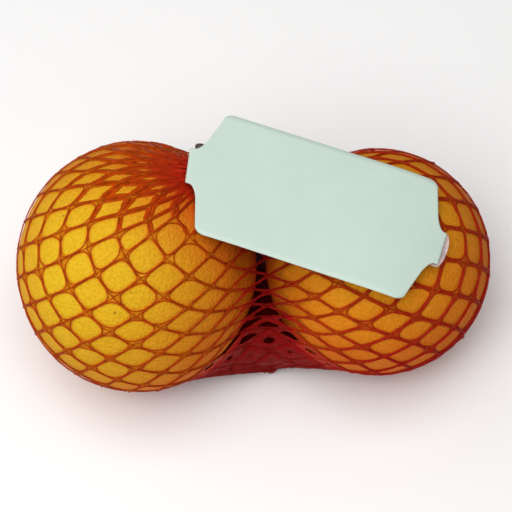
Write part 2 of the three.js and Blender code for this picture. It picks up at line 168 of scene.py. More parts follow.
# ---- The rinds and their stem buttons ----
STEM_HOLLOW = 0.0016
STEM_RADIUS = 0.0034
STEM_RISE = 0.0009
STEM_DIP = 0.0007
STEM_RIBS = 0.0006
TIP_FLAT = 0.0006
LEFT_STEM_WAY = (-0.88, 0.30, -0.36)
RIGHT_STEM_WAY = (0.74, 0.52, -0.42)
# Each rind's own tone, with painted shade turning it orange away from the lights: the way the shade deepens,
# how orange its middle is, how much more orange or more yellow its sides, and its most orange.
LEFT_TONE_AND_SHADE = ((0.50, 0.47, -0.73), 0.98, 0.86, 0.78)
RIGHT_TONE_AND_SHADE = ((0.12, 0.04, -0.99), 0.89, 0.42, 0.82)
# Painted shade on the rind where it faces the other fruit, and how far it reaches.
RIND_GROOVE_SHADE = 0.16
GROOVE_REACH = 0.016
# More orange on the rind near the neck, and how far that reaches.
NECK_ORANGE = 0.34
NECK_REACH = (0.012, 0.042)
GLOW_SHARE = 0.75  # how red the rind gets right beside a strand, painted red light from the net
GLOW_REACH = (0.0002, 0.0016)

# ---- The label and its ties ----
CORNER_SHARE = 0.7  # how deep the label's corners are rounded
FOLD_STEPS = 16
ACROSS_STEPS = 27
FLAP_STEPS = (0.15, 0.4, 0.7, 1)  # shares of a flap's length
LABEL_WAVE = 0.00022
HEM_TAIL_OUT = 0.0038  # how far the cut tail stands out of its hem
HEM_TAIL_IN = 0.0037  # from the left fold to the tail's middle
HEM_TAIL_WIDE = 0.0026
TIE_THICKNESS = 0.0005
TIE_START = 0.003  # how far under the label the clear tongue starts
TIE_LENGTH = 0.0058
TIE_CURL = 0.0012

# ---- Finishes and light ----
RIND_PORE = (0.8, 0.74, 0.34)
RIND_SPECK = (0.12, 0.07, 0.01)
RIND_GRAIN = 0.00006
DIMPLE_DEPTH = 0.00033
STEM_COLOURS = ((0.16, 0.10, 0.035), (0.34, 0.25, 0.09))
FILM_ALPHA = 0.3
GATHER_ALPHA = 0.86
THREAD_ALPHA = 0.66
TIE_ALPHA = 0.42
AMBIENT = 0.12
FLOOR_HALF = 3.0
LOOK_OFFSET = (0.0008, 0.0038, -0.0024)  # from the pack's middle to what the camera looks at
# Name, azimuth and elevation in degrees, distance, size, power and colour.
LIGHTS = (
    ("Key", -30, 56, 1.3, 0.7, 5.8, (1.0, 0.99, 0.97)),
    ("Side", -90, 40, 1.3, 2.0, 9.4, (1.0, 1.0, 1.0)),
    ("Top", 0, 85, 1.4, 1.0, 10.6, (1.0, 1.0, 1.0)),
)

NET_CACHE = {}


# ---- What a user can change ----
def length_prop(name, description, default):
    return FloatProperty(
        name=name, description=description, default=default, subtype="DISTANCE", unit="LENGTH"
    )


def angle_prop(name, description, degrees):
    turn = math.radians(degrees)
    return FloatProperty(name=name, description=description, default=turn, subtype="ANGLE", unit="ROTATION")


def share_prop(name, description, default):
    return FloatProperty(
        name=name, description=description, default=default, min=0.0, max=1.0, subtype="FACTOR"
    )


def colour_prop(name, description, default):
    return FloatVectorProperty(
        name=name, description=description, default=default, size=3, min=0.0, max=1.0, subtype="COLOR"
    )


class PomeloFruit(bpy.types.PropertyGroup):
    """Sizes and colours of the two pomelos."""

    left_length: length_prop("Left length", "Larger fruit, from end to end along X", 0.0992)
    left_girth: length_prop("Left girth", "Larger fruit, across", 0.1034)
    right_length: length_prop("Right length", "Smaller fruit, from end to end along X", 0.0938)
    right_girth: length_prop("Right girth", "Smaller fruit, across", 0.0938)
    settle: length_prop("Settle", "How far the strands under the fruit are pressed flat", 0.0004)
    grid: IntProperty(name="Grid", description="Squares along each side of a fruit's cube", default=118)
    unevenness: length_prop("Unevenness", "How far the rind swells and sinks", 0.00045)
    pore_pitch: length_prop("Pore pitch", "From one oil pore to the next", 0.00175)
    pore_depth: length_prop("Pore depth", "How deep an oil pore sits in the rind", 0.00011)
    dimple_pitch: length_prop("Dimple pitch", "From one small dimple between the pores to the next", 0.00125)
    # The rind turns from its lit yellow to orange with painted shade away from the lights.
    lit_yellow: colour_prop("Fresh", "Rind on the yellow side of a fruit", (0.74, 0.495, 0.018))
    orange_and_shade: colour_prop("Ripe", "Rind on its ripe side", (0.67, 0.09, 0.008))
    # Painted red light from the strands on the rind beside them.
    net_glow: colour_prop("Net glow", "Rind close to the red strands", (0.64, 0.165, 0.008))


class PomeloNet(bpy.types.PropertyGroup):
    """Sizes and colours of the net."""

    thickness: length_prop("Thickness", "Net over the rind", 0.0009)
    meshes_round: IntProperty(name="Meshes round", description="Cells round the sack", default=26)
    rows: IntProperty(name="Rows", description="Half-cells from the neck to the base", default=25)
    strand: length_prop("Strand", "From knot to knot, unstretched, one way round", 0.01123)
    other_strand: length_prop("Other strand", "The same, the other way round", 0.01277)
    least: length_prop("Least length", "A strand crumpled shorter than this pushes back", 0.0016)
    slack_pull: length_prop("Slack pull", "Stretch that draws a slack strand as hard as it is drawn", 0.00022)
    start_turn: angle_prop("Start turn", "Where the first strand starts round the sack", 5)
    twist: angle_prop("Twist", "From the neck to the base", 46)
    relax_steps: IntProperty(name="Relax steps", description="Steps that draw the net together", default=1600)
    thread: length_prop("Thread", "Radius of one thread", 0.00026)
    knot_share: share_prop("Knot share", "Share of a strand at each end that opens out into its knot", 0.30)
    film_lift: length_prop("Film lift", "Height of the flattened tape in a knot over the rind", 0.00022)
    colour: colour_prop("Colour", "Net plastic", (0.53, 0.066, 0.002))
    film: colour_prop("Film colour", "Flattened tape in the knots", (0.98, 0.3, 0.01))
    # Painted shade deep in the groove darkens this colour further.
    gather: colour_prop("Gather colour", "Net bunched in the groove, at neck and base", (0.47, 0.008, 0.006))


class PomeloLabel(bpy.types.PropertyGroup):
    """Sizes and colours of the label strip and what fastens it."""

    yaw: angle_prop("Yaw", "Turn about the upright axis", -20.4)
    pitch: angle_prop("Pitch", "Left end higher", 4.6)
    roll: angle_prop("Roll", "Back edge higher", 4.4)
    body_half: length_prop("Body half", "Half of the full-width stretch", 0.0442)
    half_width: length_prop("Half width", "Half of the strip's width", 0.0267)
    corner: length_prop("Corner", "Rounding of the four corners", 0.0044)
    shoulder_end: length_prop("Shoulder end", "Where the slanted shoulders end", 0.0476)
    shoulder_half: length_prop("Shoulder half", "Half width where the shoulders end", 0.0122)
    neck_start: length_prop("Neck start", "Where the curve from the shoulders runs out", 0.0518)
    left_neck_half: length_prop("Left neck half", "Half width of the left neck", 0.0075)
    right_neck_half: length_prop("Right neck half", "Half width of the right neck", 0.0069)
    tip: length_prop("Tip", "Where each neck folds under", 0.0522)
    thickness: length_prop("Thickness", "Coated paper", 0.0004)
    left_hem: length_prop("Left hem", "Height inside the left hem", 0.0017)
    right_hem: length_prop("Right hem", "Height inside the right hem", 0.0009)
    hem_length: length_prop("Hem length", "How far each neck is folded back", 0.006)
    body_lean: FloatProperty(
        name="Body lean", description="Skew of the body's left end, per width", default=0.09
    )
    neck_lean: FloatProperty(name="Neck lean", description="Skew of the left fold, per width", default=0.2)
    droop_start: length_prop("Droop start", "Where the right end starts to bend down", 0.022)
    droop: length_prop("Droop", "How far the right end bends down", 0.0028)
    paper: colour_prop("Paper", "Coated paper", (0.555, 0.68, 0.597))
    # Its dark brown is painted shade, the shadowed inside of the hem's opening, on the net's cut end.
    tail: colour_prop("Tail", "Net tail in the left hem", (0.085, 0.062, 0.05))
    tie: colour_prop("Tie", "Clear film at the right hem", (0.86, 0.72, 0.74))


class PomeloStudio(bpy.types.PropertyGroup):
    """Camera, lights and floor."""

    azimuth: angle_prop("Azimuth", "Camera's place round the pack", -2.7)
    elevation: angle_prop("Elevation", "Camera's height over the horizon", 62.0)
    distance: length_prop("Distance", "Camera to the pack", 0.75)
    view_half: length_prop("View half", "Half of what the camera sees across the pack", 0.1075)
    floor: colour_prop("Floor", "Pale floor", (0.97, 0.97, 0.97))


SETTINGS = {
    "pomelo_fruit": PomeloFruit,
    "pomelo_net": PomeloNet,
    "pomelo_label": PomeloLabel,
    "pomelo_studio": PomeloStudio,
}


# ---- Small helpers ----
def unit(vectors):
    return vectors / np.maximum(np.linalg.norm(vectors, axis=-1, keepdims=True), 1e-12)


def smooth(start, end, value):
    """A share that rises gently from 0 to 1 between two values."""
    t = np.clip((value - start) / (end - start), 0.0, 1.0)
    return t * t * (3 - 2 * t)


def mesh_from(name, points, faces=(), edges=()):
    mesh = bpy.data.meshes.new(name)
    mesh.from_pydata([tuple(p) for p in points], [tuple(e) for e in edges], [tuple(f) for f in faces])
    mesh.update()
    return mesh


def add_object(name, mesh):
    piece = bpy.data.objects.new(name, mesh)
    bpy.context.scene.collection.objects.link(piece)
    return piece


def store(mesh, name, kind, values):
    """Keeps one value or vector for each vertex of a mesh."""
    attribute = mesh.attributes.new(name, kind, "POINT")
    key = "vector" if kind == "FLOAT_VECTOR" else "value"
    attribute.data.foreach_set(key, np.asarray(values, np.float32).ravel())


def settle_piece(piece, replaced=()):
    """Hangs the finished piece on what it rides on and hides the solids it stands for."""
    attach(piece, BODY)
    if replaced:
        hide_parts(*replaced)
    return piece


# ---- Node helpers ----
def add_node(tree, kind, inputs=None, **values):
    node = tree.nodes.new(kind)
    for key, value in values.items():
        setattr(node, key, value)
    for key, value in (inputs or {}).items():
        if isinstance(value, bpy.types.NodeSocket):
            tree.links.new(value, node.inputs[key])
        else:
            node.inputs[key].default_value = value
    return node


def calculate(tree, operation, first, second, clamped=False):
    """The outcome's socket. Each of the two is a socket or a number."""
    node = add_node(tree, "ShaderNodeMath", {0: first, 1: second}, operation=operation, use_clamp=clamped)
    return node.outputs[0]


def fade(tree, value, near, far, most):
    """A value that falls smoothly to none between two distances."""
    limits = {"Value": value, "From Min": near, "From Max": far, "To Min": most, "To Max": 0.0}
    node = add_node(tree, "ShaderNodeMapRange", limits, interpolation_type="SMOOTHSTEP")
    return node.outputs["Result"]


def new_tree(name, kind, inputs, output):
    """A tree with its sockets and its entry node. Inputs are given by name, with their kind and default."""
    tree = bpy.data.node_groups.new(name, kind)
    for key, (socket, default) in inputs.items():
        made = tree.interface.new_socket(name=key, in_out="INPUT", socket_type=socket)
        if default is not None:
            made.default_value = default
    tree.interface.new_socket(name=output[0], in_out="OUTPUT", socket_type=output[1])
    return tree, add_node(tree, "NodeGroupInput")


def run_tree(name, mesh, tree, values):
    """Runs a geometry tree on a mesh and keeps the result as a plain mesh."""
    piece = add_object(name, mesh)
    modifier = piece.modifiers.new(tree.name, "NODES")
    modifier.node_group = tree
    for item in tree.interface.items_tree:
        if item.item_type == "SOCKET" and item.in_out == "INPUT" and item.name in values:
            modifier[item.identifier] = values[item.name]
    evaluated = piece.evaluated_get(bpy.context.evaluated_depsgraph_get())
    made = bpy.data.meshes.new_from_object(evaluated)
    piece.modifiers.remove(modifier)
    piece.data = made
    bpy.data.meshes.remove(mesh)
    made.name = name
    return piece


def finish_tree(tree, geometry, material, output):
    """Smooths the shading, makes instances real and sets the material, as the last steps of a tree."""
    shaded = add_node(tree, "GeometryNodeSetShadeSmooth", {"Geometry": geometry})
    real = add_node(tree, "GeometryNodeRealizeInstances", {"Geometry": shaded.outputs["Geometry"]})
    finished = add_node(
        tree, "GeometryNodeSetMaterial", {"Geometry": real.outputs["Geometry"], "Material": material}
    )
    add_node(tree, "NodeGroupOutput", {output: finished.outputs["Geometry"]})


def thread_tree():
    """Sweeps a flattened round section along every line of a mesh, turned to lie on what it passes over."""
    if "Swept thread" in bpy.data.node_groups:
        return bpy.data.node_groups["Swept thread"]
    inputs = {
        "Lines": ("NodeSocketGeometry", None),
        "Radius": ("NodeSocketFloat", 0.0003),
        "Flatness": ("NodeSocketFloat", 0.8),
        "Sides": ("NodeSocketInt", 5),
        "Material": ("NodeSocketMaterial", None),
    }
    tree, entry = new_tree("Swept thread", "GeometryNodeTree", inputs, ("Threads", "NodeSocketGeometry"))
    curve = add_node(tree, "GeometryNodeMeshToCurve", {"Mesh": entry.outputs["Lines"]})
    lie = add_node(tree, "GeometryNodeInputNamedAttribute", {"Name": "lie"}, data_type="FLOAT_VECTOR")
    turned = add_node(
        tree,
        "GeometryNodeSetCurveNormal",
        {"Curve": curve.outputs["Curve"], "Normal": lie.outputs["Attribute"]},
        mode="FREE",
    )
    weight = add_node(tree, "GeometryNodeInputNamedAttribute", {"Name": "weight"}, data_type="FLOAT")
    circle = add_node(
        tree,
        "GeometryNodeCurvePrimitiveCircle",
        {"Resolution": entry.outputs["Sides"], "Radius": entry.outputs["Radius"]},
    )
    wide = add_node(tree, "ShaderNodeCombineXYZ", {"X": entry.outputs["Flatness"], "Y": 1.0, "Z": 1.0})
    flat = add_node(
        tree, "GeometryNodeTransform", {"Geometry": circle.outputs["Curve"], "Scale": wide.outputs["Vector"]}
    )
    swept = add_node(
        tree,
        "GeometryNodeCurveToMesh",
        {
            "Curve": turned.outputs["Curve"],
            "Profile Curve": flat.outputs["Geometry"],
            "Scale": weight.outputs["Attribute"],
            "Fill Caps": True,
        },
    )
    finish_tree(tree, swept.outputs["Mesh"], entry.outputs["Material"], "Threads")
    return tree


def rind_tree():
    """Lets a smooth fruit swell and sink a little and presses its oil pores in."""
    if "Rind relief" in bpy.data.node_groups:
        return bpy.data.node_groups["Rind relief"]
    inputs = {
        "Fruit": ("NodeSocketGeometry", None),
        "Unevenness": ("NodeSocketFloat", 0.0004),
        "Pore pitch": ("NodeSocketFloat", 0.0017),
        "Pore depth": ("NodeSocketFloat", 0.0001),
        "Material": ("NodeSocketMaterial", None),
    }
    tree, entry = new_tree("Rind relief", "GeometryNodeTree", inputs, ("Fruit", "NodeSocketGeometry"))
    swell = add_node(
        tree, "ShaderNodeTexNoise", {"Scale": 34.0, "Detail": 2.0, "Roughness": 0.45}, noise_dimensions="3D"
    )
    centred = calculate(tree, "SUBTRACT", swell.outputs["Fac"], 0.5)
    swollen = calculate(tree, "MULTIPLY", centred, entry.outputs["Unevenness"])
    doubled = calculate(tree, "MULTIPLY", swollen, 2.0)
    density = calculate(tree, "DIVIDE", 1.0, entry.outputs["Pore pitch"])
    pores = add_node(tree, "ShaderNodeTexVoronoi", {"Scale": density, "Randomness": 0.8})
    pit = fade(tree, pores.outputs["Distance"], near=0.12, far=0.5, most=1.0)
    depth = calculate(tree, "MULTIPLY", pit, entry.outputs["Pore depth"])
    height = calculate(tree, "SUBTRACT", doubled, depth)
    normal = add_node(tree, "GeometryNodeInputNormal")
    offset = add_node(
        tree, "ShaderNodeVectorMath", {0: normal.outputs["Normal"], "Scale": height}, operation="SCALE"
    )
    inputs = {"Geometry": entry.outputs["Fruit"], "Offset": offset.outputs["Vector"]}
    moved = add_node(tree, "GeometryNodeSetPosition", inputs)
    finish_tree(tree, moved.outputs["Geometry"], entry.outputs["Material"], "Fruit")
    return tree


# ---- Shader groups and materials ----
def mottle_group():
    """A soft value that wanders between two limits, for colour and roughness."""
    if "Mottle" in bpy.data.node_groups:
        return bpy.data.node_groups["Mottle"]
    inputs = {
        "Place": ("NodeSocketVector", None),
        "Scale": ("NodeSocketFloat", 100.0),
        "Low": ("NodeSocketFloat", 0.0),
        "High": ("NodeSocketFloat", 1.0),
    }
    tree, entry = new_tree("Mottle", "ShaderNodeTree", inputs, ("Value", "NodeSocketFloat"))
    wander = add_node(
        tree,
        "ShaderNodeTexNoise",
        {"Vector": entry.outputs["Place"], "Scale": entry.outputs["Scale"], "Detail": 3.0, "Roughness": 0.55},
    )
    spread = add_node(
        tree,
        "ShaderNodeMapRange",
        {
            "Value": wander.outputs["Fac"],
            "From Min": 0.3,
            "From Max": 0.7,
            "To Min": entry.outputs["Low"],
            "To Max": entry.outputs["High"],
        },
    )
    add_node(tree, "NodeGroupOutput", {"Value": spread.outputs["Result"]})
    return tree


def grain_group():
    """A fine bump normal for paper, film and rind."""
    if "Fine grain" in bpy.data.node_groups:
        return bpy.data.node_groups["Fine grain"]
    inputs = {
        "Place": ("NodeSocketVector", None),
        "Scale": ("NodeSocketFloat", 2000.0),
        "Depth": ("NodeSocketFloat", 0.00002),
    }
    tree, entry = new_tree("Fine grain", "ShaderNodeTree", inputs, ("Normal", "NodeSocketVector"))
    fine = add_node(
        tree,
        "ShaderNodeTexNoise",
        {"Vector": entry.outputs["Place"], "Scale": entry.outputs["Scale"], "Detail": 4.0, "Roughness": 0.6},
    )
    height = calculate(tree, "MULTIPLY", fine.outputs["Fac"], entry.outputs["Depth"])
    bump = add_node(tree, "ShaderNodeBump", {"Height": height, "Distance": 1.0, "Strength": 1.0})
    add_node(tree, "NodeGroupOutput", {"Normal": bump.outputs["Normal"]})
    return tree


def new_material(name):
    """A material with its node tree, its shader and the place on the piece that its textures follow."""
    material = bpy.data.materials.new(name)
    material.use_nodes = True
    tree = material.node_tree
    tree.nodes.clear()
    shader = add_node(tree, "ShaderNodeBsdfPrincipled")
    add_node(tree, "ShaderNodeOutputMaterial", {"Surface": shader.outputs["BSDF"]})
    place = add_node(tree, "ShaderNodeTexCoord").outputs["Object"]
    return material, tree, shader, place


def mottle(tree, place, scale, low=0.0, high=1.0):
    """The socket of a value that wanders between two limits."""
    inputs = {"Place": place, "Scale": scale, "Low": low, "High": high}
    node = add_node(tree, "ShaderNodeGroup", inputs, node_tree=mottle_group())
    return node.outputs["Value"]


def grain(tree, place, scale, depth):
    """The socket of a fine bump normal."""
    inputs = {"Place": place, "Scale": scale, "Depth": depth}
    node = add_node(tree, "ShaderNodeGroup", inputs, node_tree=grain_group())
    return node.outputs["Normal"]


def mix_colours(tree, share, first, second, blend="MIX"):
    """The mixed colour's socket. Each colour is a socket or three numbers."""
    colours = [c if isinstance(c, bpy.types.NodeSocket) else (*c, 1.0) for c in (first, second)]
    node = add_node(
        tree, "ShaderNodeMix", {0: share, 6: colours[0], 7: colours[1]}, data_type="RGBA", blend_type=blend
    )
    return node.outputs[2]


def darker(colour, share):
    return tuple(channel * share for channel in colour)


def rind_material(fruit):
    """Waxed citrus rind: yellow to orange, with painted shade turning it orange away from the lights, darker
    pores, a few specks, and painted red light close to the strands.
    """
    material, tree, shader, place = new_material("Rind")
    # Painted shade turns the rind orange away from the lights and by the groove; it is more orange near the
    # neck too.
    orange_and_shade = add_node(tree, "ShaderNodeAttribute", attribute_name="orange_and_shade")
    patches = mottle(tree, place, scale=45.0, low=-0.05, high=0.05)
    uneven = calculate(tree, "ADD", orange_and_shade.outputs["Fac"], patches, clamped=True)
    base = mix_colours(tree, uneven, fruit.lit_yellow, fruit.orange_and_shade)
    dimples = {"Vector": place, "Scale": 1 / fruit.dimple_pitch, "Randomness": 0.9}
    dimple = add_node(tree, "ShaderNodeTexVoronoi", dimples)
    pit = fade(tree, dimple.outputs["Distance"], near=0.08, far=0.72, most=0.55)
    pored = mix_colours(tree, pit, base, RIND_PORE, "MULTIPLY")
    specks = {"Vector": place, "Scale": 85.0, "Randomness": 1.0}
    spot = add_node(tree, "ShaderNodeTexVoronoi", specks)
    speck = fade(tree, spot.outputs["Distance"], near=0.035, far=0.06, most=0.6)
    specked = mix_colours(tree, speck, pored, RIND_SPECK)
    # Painted red light from the strands.
    near = add_node(tree, "ShaderNodeAttribute", attribute_name="near_net")
    glowing = mix_colours(tree, near.outputs["Fac"], specked, fruit.net_glow)
    tree.links.new(glowing, shader.inputs["Base Color"])
    tree.links.new(mottle(tree, place, scale=260.0, low=0.5, high=0.68), shader.inputs["Roughness"])
    fine = add_node(tree, "ShaderNodeTexNoise", {"Vector": place, "Scale": 1100.0, "Detail": 3.0})
    fine_height = calculate(tree, "MULTIPLY", fine.outputs["Fac"], RIND_GRAIN)
    height = calculate(tree, "ADD", fine_height, calculate(tree, "MULTIPLY", pit, -DIMPLE_DEPTH))
    bump = add_node(tree, "ShaderNodeBump", {"Height": height, "Distance": 1.0, "Strength": 1.0})
    tree.links.new(bump.outputs["Normal"], shader.inputs["Normal"])
    shader.inputs["Specular IOR Level"].default_value = 0.03
    return material


def net_material(name, colour, alpha, roughness, gloss=0.12, depth=0.00007, bunched_colour=None, darkest=1.0):
    """Drawn plastic, a little see-through, its colour wandering along it, deeper where it is bunched and
    darker with painted shade.
    """
    material, tree, shader, place = new_material(name)
    lighter = [min(1.0, channel * 1.22) for channel in colour]
    base = mix_colours(tree, mottle(tree, place, scale=420.0), darker(colour, 0.72), lighter)
    if bunched_colour is not None:
        share = add_node(tree, "ShaderNodeAttribute", attribute_name="bunched_and_shade").outputs["Fac"]
        base = mix_colours(tree, share, base, bunched_colour)
        # Past 1, the share mixes in a darker copy of the bunched colour: painted shade.
        further = calculate(tree, "SUBTRACT", share, 1.0, clamped=True)
        base = mix_colours(tree, further, base, darker(bunched_colour, darkest))
    tree.links.new(base, shader.inputs["Base Color"])
    tree.links.new(grain(tree, place, scale=2600.0, depth=depth), shader.inputs["Normal"])
    shader.inputs["Roughness"].default_value = roughness
    shader.inputs["Alpha"].default_value = alpha
    shader.inputs["Specular IOR Level"].default_value = gloss
    return material


def thread_material(net):
    """The threads' plastic, made once for those round the cells and those along the strands."""
    if "Net thread" in bpy.data.materials:
        return bpy.data.materials["Net thread"]
    return net_material(
        "Net thread",
        net.colour,
        alpha=THREAD_ALPHA,
        roughness=0.55,
        gloss=0.06,
        bunched_colour=net.gather,
        darkest=THREAD_PAINTED_SHADE,
    )


def knot_material(net):
    """Thin pale tape, flattened in the knots."""
    return net_material(
        "Net film",
        net.film,
        alpha=FILM_ALPHA,
        roughness=0.6,
        gloss=0.0,
        depth=0.00003,
        bunched_colour=net.gather,
        darkest=THREAD_PAINTED_SHADE,
    )


def slack_material(net):
    """Slack tape, with painted shade darkest deep in the groove."""
    return net_material(
        "Net gather",
        net.colour,
        alpha=GATHER_ALPHA,
        roughness=0.4,
        gloss=0.03,
        depth=0.00002,
        bunched_colour=net.gather,
        darkest=SLACK_PAINTED_SHADE,
    )


def paper_material(label):
    """Coated paper: a soft sheen, fine fibres and faint clouds of tone."""
    material, tree, shader, place = new_material("Coated paper")
    base = mix_colours(tree, mottle(tree, place, scale=90.0), darker(label.paper, 0.965), label.paper)
    tree.links.new(base, shader.inputs["Base Color"])
    tree.links.new(mottle(tree, place, scale=500.0, low=0.42, high=0.54), shader.inputs["Roughness"])
    tree.links.new(grain(tree, place, scale=3200.0, depth=0.000035), shader.inputs["Normal"])
    shader.inputs["Specular IOR Level"].default_value = 0.4
    return material


def stem_material():
    """Dry grey-brown stem button."""
    material, tree, shader, place = new_material("Dry stem")
    base = mix_colours(tree, mottle(tree, place, scale=700.0), *STEM_COLOURS)
    tree.links.new(base, shader.inputs["Base Color"])
    tree.links.new(grain(tree, place, scale=1800.0, depth=0.00015), shader.inputs["Normal"])
    shader.inputs["Roughness"].default_value = 0.8
    return material


# ---- The fruit's places and the way out from them ----
def rind_shapes(fruit, net):
    """Centre and half-sizes of each rind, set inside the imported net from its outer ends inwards."""
    low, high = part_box("filled_net")
    shapes = []
    sizes = ((-1, fruit.left_length, fruit.left_girth), (1, fruit.right_length, fruit.right_girth))
    for side, length, girth in sizes:
        halves = np.array((length, girth, girth)) / 2
        end = low.x if side < 0 else high.x
        centre_x = end - side * (halves[0] + net.thickness)
        centre_z = low.z + halves[2] + net.thickness - fruit.settle
        shapes.append((np.array((centre_x, (low.y + high.y) / 2, centre_z)), halves))
    return shapes


def push_out(points, shapes, height):
    """Moves points that lie in a fruit out to the given height over its rind."""
    for centre, halves in shapes:
        reach = halves + height
        offset = (points - centre) / reach
        depth = np.linalg.norm(offset, axis=-1, keepdims=True)
        points = np.where(depth < 1, centre + (points - centre) / np.maximum(depth, 1e-9), points)
    return points


def over_rind(points, shape):
    """About how far points stand off one rind."""
    centre, halves = shape
    return (np.linalg.norm((points - centre) / halves, axis=-1) - 1) * halves.mean()


def stand_off(points, shapes):
    """About how far points stand off the nearer rind."""
    return np.minimum(over_rind(points, shapes[0]), over_rind(points, shapes[1]))


def outward(points, shapes):
    """The way out from the pack: each fruit's own normal, blended where a strand bridges the two."""
    total = np.zeros_like(points)
    for centre, halves in shapes:
        offset = (points - centre) / halves
        distance = np.maximum(np.linalg.norm(offset, axis=-1, keepdims=True) - 1, 0) * halves.mean()
        total += unit((points - centre) / halves**2) / (distance + OUTWARD_BLEND) ** 2
    return unit(total)


def above_table(points, height):
    """Points kept at least at a height."""
    points = points.copy()
    points[..., 2] = np.maximum(points[..., 2], height)
    return points


def label_place(label):
    """The label's own frame: X along it, Z out of its shown face."""
    low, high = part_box("label")
    middle = (low + high) / 2
    centre = middle + Vector(LABEL_CENTRE_OFFSET)
    turn = Matrix.Rotation(label.yaw, 4, "Z") @ Matrix.Rotation(label.pitch, 4, "Y")
    return np.array(Matrix.Translation(centre) @ (turn @ Matrix.Rotation(label.roll, 4, "X")))


def on_label(place, along, across, above):
    """Points given on the label, in the pack's frame."""
    local = np.stack(np.broadcast_arrays(along, across, above, 1.0), axis=-1)
    return (local @ place.T)[..., :3]


# ---- The net's knots and threads ----
def neck_foot(place, height):
    """The middle of the gathered neck at a height."""
    foot = on_label(place, NECK_ALONG, NECK_ACROSS, 0.0)
    foot[2] = height
    return foot


def neck_ring(place, directions, height):
    """Where the sack's gathered neck passes into the left hem, as a flat oval along the hem."""
    foot = neck_foot(place, height)
    thin = np.array((place[0, 0], place[1, 0], 0.0))
    thin /= np.linalg.norm(thin)
    wide = np.array((-thin[1], thin[0], 0.0))
    turn = np.arctan2(directions @ wide, directions @ thin)
    return foot + NECK_THIN * np.cos(turn)[:, None] * thin + NECK_WIDE * np.sin(turn)[:, None] * wide


def base_ring(centre, directions, reach, radius):
    """The gathered base's ring, moved along its axis."""
    flat = directions - (directions @ BASE_AXIS)[:, None] * BASE_AXIS
    return centre + BASE_AXIS * reach + unit(flat) * radius


def base_centre():
    """The middle of the net's last knots, over the button that closes them."""
    low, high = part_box("base_weld")
    return np.array((low + high) / 2) - BASE_AXIS * (BASE_TAIL + BASE_GAP + WELD_HEIGHT / 2)


def round_directions(sack_axis, turns):
    """Level directions round the sack for the given turns."""
    round_x = np.array((1.0, 0.0, 0.0)) - sack_axis[0] * sack_axis
    round_x /= np.linalg.norm(round_x)
    round_y = np.cross(sack_axis, round_x)
    return np.cos(turns)[..., None] * round_x + np.sin(turns)[..., None] * round_y


def ramp(limits, value):
    """A share that rises straight from 0 to 1 between two limits."""
    return np.clip((value - limits[0]) / (limits[1] - limits[0]), 0, 1)


def inward_pull(knots, shapes, height, floor):
    """What draws the knots between the fruit in towards the line through both."""
    (left, _), (right, _) = shapes
    share = (knots[..., :1] - left[0]) / (right[0] - left[0])
    out = knots - left - (right - left) * share
    reach = np.linalg.norm(out, axis=-1, keepdims=True)
    free = ramp(HUG_STAND_OFF, stand_off(knots, shapes) - height)[..., None]
    pull = HUG_PULL * free * ramp(HUG_CORE, reach) * ramp(HUG_HEIGHT, knots[..., 2:] - floor)
    return -out / reach * pull


def draw_together(knots, shapes, net, floor):
    """Moves the knots between the neck and the base until every strand's pull balances."""
    row, column = np.meshgrid(np.arange(net.rows), np.arange(net.meshes_round), indexing="ij")
    even = row % 2 == 0
    aside = np.where(even, -1, 1)
    below = (row + 1) * net.meshes_round + (column + aside) % net.meshes_round
    above = row * net.meshes_round + (column - aside) % net.meshes_round
    straight = np.where(even, net.strand, net.other_strand)[..., None]
    slanted = np.where(even, net.other_strand, net.strand)[..., None]
    speed = np.zeros_like(knots)
    for _ in range(net.relax_steps):
        pulls = []
        for ends, slack_length in ((knots[1:], straight), (knots.reshape(-1, 3)[below], slanted)):
            along = ends - knots[:-1]
            length = np.linalg.norm(along, axis=-1, keepdims=True)
            stretch = np.maximum(0, length - slack_length) + CRUMPLE_PUSH * np.minimum(0, length - net.least)
            pulls.append(along / length * (net.slack_pull + stretch))
        force = np.zeros_like(knots)
        force[:-1] += pulls[0] + pulls[1]
        force[1:] -= pulls[0] + pulls[1].reshape(-1, 3)[above]
        force += inward_pull(knots, shapes, net.thickness / 2, floor)
        speed = SPEED_KEPT * speed + SPEED_GAINED * force
        fastest = np.linalg.norm(speed, axis=-1, keepdims=True)
        speed *= np.minimum(1, TOP_SPEED / np.maximum(fastest, 1e-12))
        moved = push_out(knots[1:-1] + speed[1:-1], shapes, net.thickness / 2)
        knots[1:-1] = above_table(moved, floor + net.thickness / 2)


def drawn_net(fruit, net, label):
    """The net over the fruit: its knots by row and column, and where its threads end."""
    shapes = rind_shapes(fruit, net)
    place = label_place(label)
    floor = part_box("filled_net")[0].z
    middle = (shapes[0][0] + shapes[1][0]) / 2
    neck, base = neck_foot(place, floor + NECK_HEIGHT), base_centre()
    sack_axis = unit(unit(neck - middle) - unit(base - middle))
    row, column = np.meshgrid(np.arange(net.rows + 1), np.arange(net.meshes_round), indexing="ij")
    turns = 2 * math.pi * (column + 0.5 * (row % 2)) / net.meshes_round
    turns += net.start_turn + net.twist * (row / net.rows - 0.5)
    headings = round_directions(sack_axis, turns)
    lean = (math.pi * row / net.rows)[..., None]
    knots = middle + (np.sin(lean) * headings + np.cos(lean) * sack_axis) * np.array(SLACK_HALVES)
    knots[0] = neck_ring(place, headings[0], floor + NECK_HEIGHT)
    knots[-1] = base_ring(base, headings[-1], 0.0, BASE_RADIUS)
    draw_together(knots, shapes, net, floor)
    return {
        "knots": knots,
        "neck_end": neck_ring(place, headings[0], floor + NECK_TOP),
        "tail_end": base_ring(base, headings[-1], BASE_TAIL, BASE_END_RADIUS),
        "shapes": shapes,
        "floor": floor,
    }


def get_net(context):
    """The drawn net, worked out once for all the pieces that follow it."""
    scene = context.scene
    if "drawn" not in NET_CACHE:
        NET_CACHE["drawn"] = drawn_net(scene.pomelo_fruit, scene.pomelo_net, scene.pomelo_label)
    return NET_CACHE["drawn"]


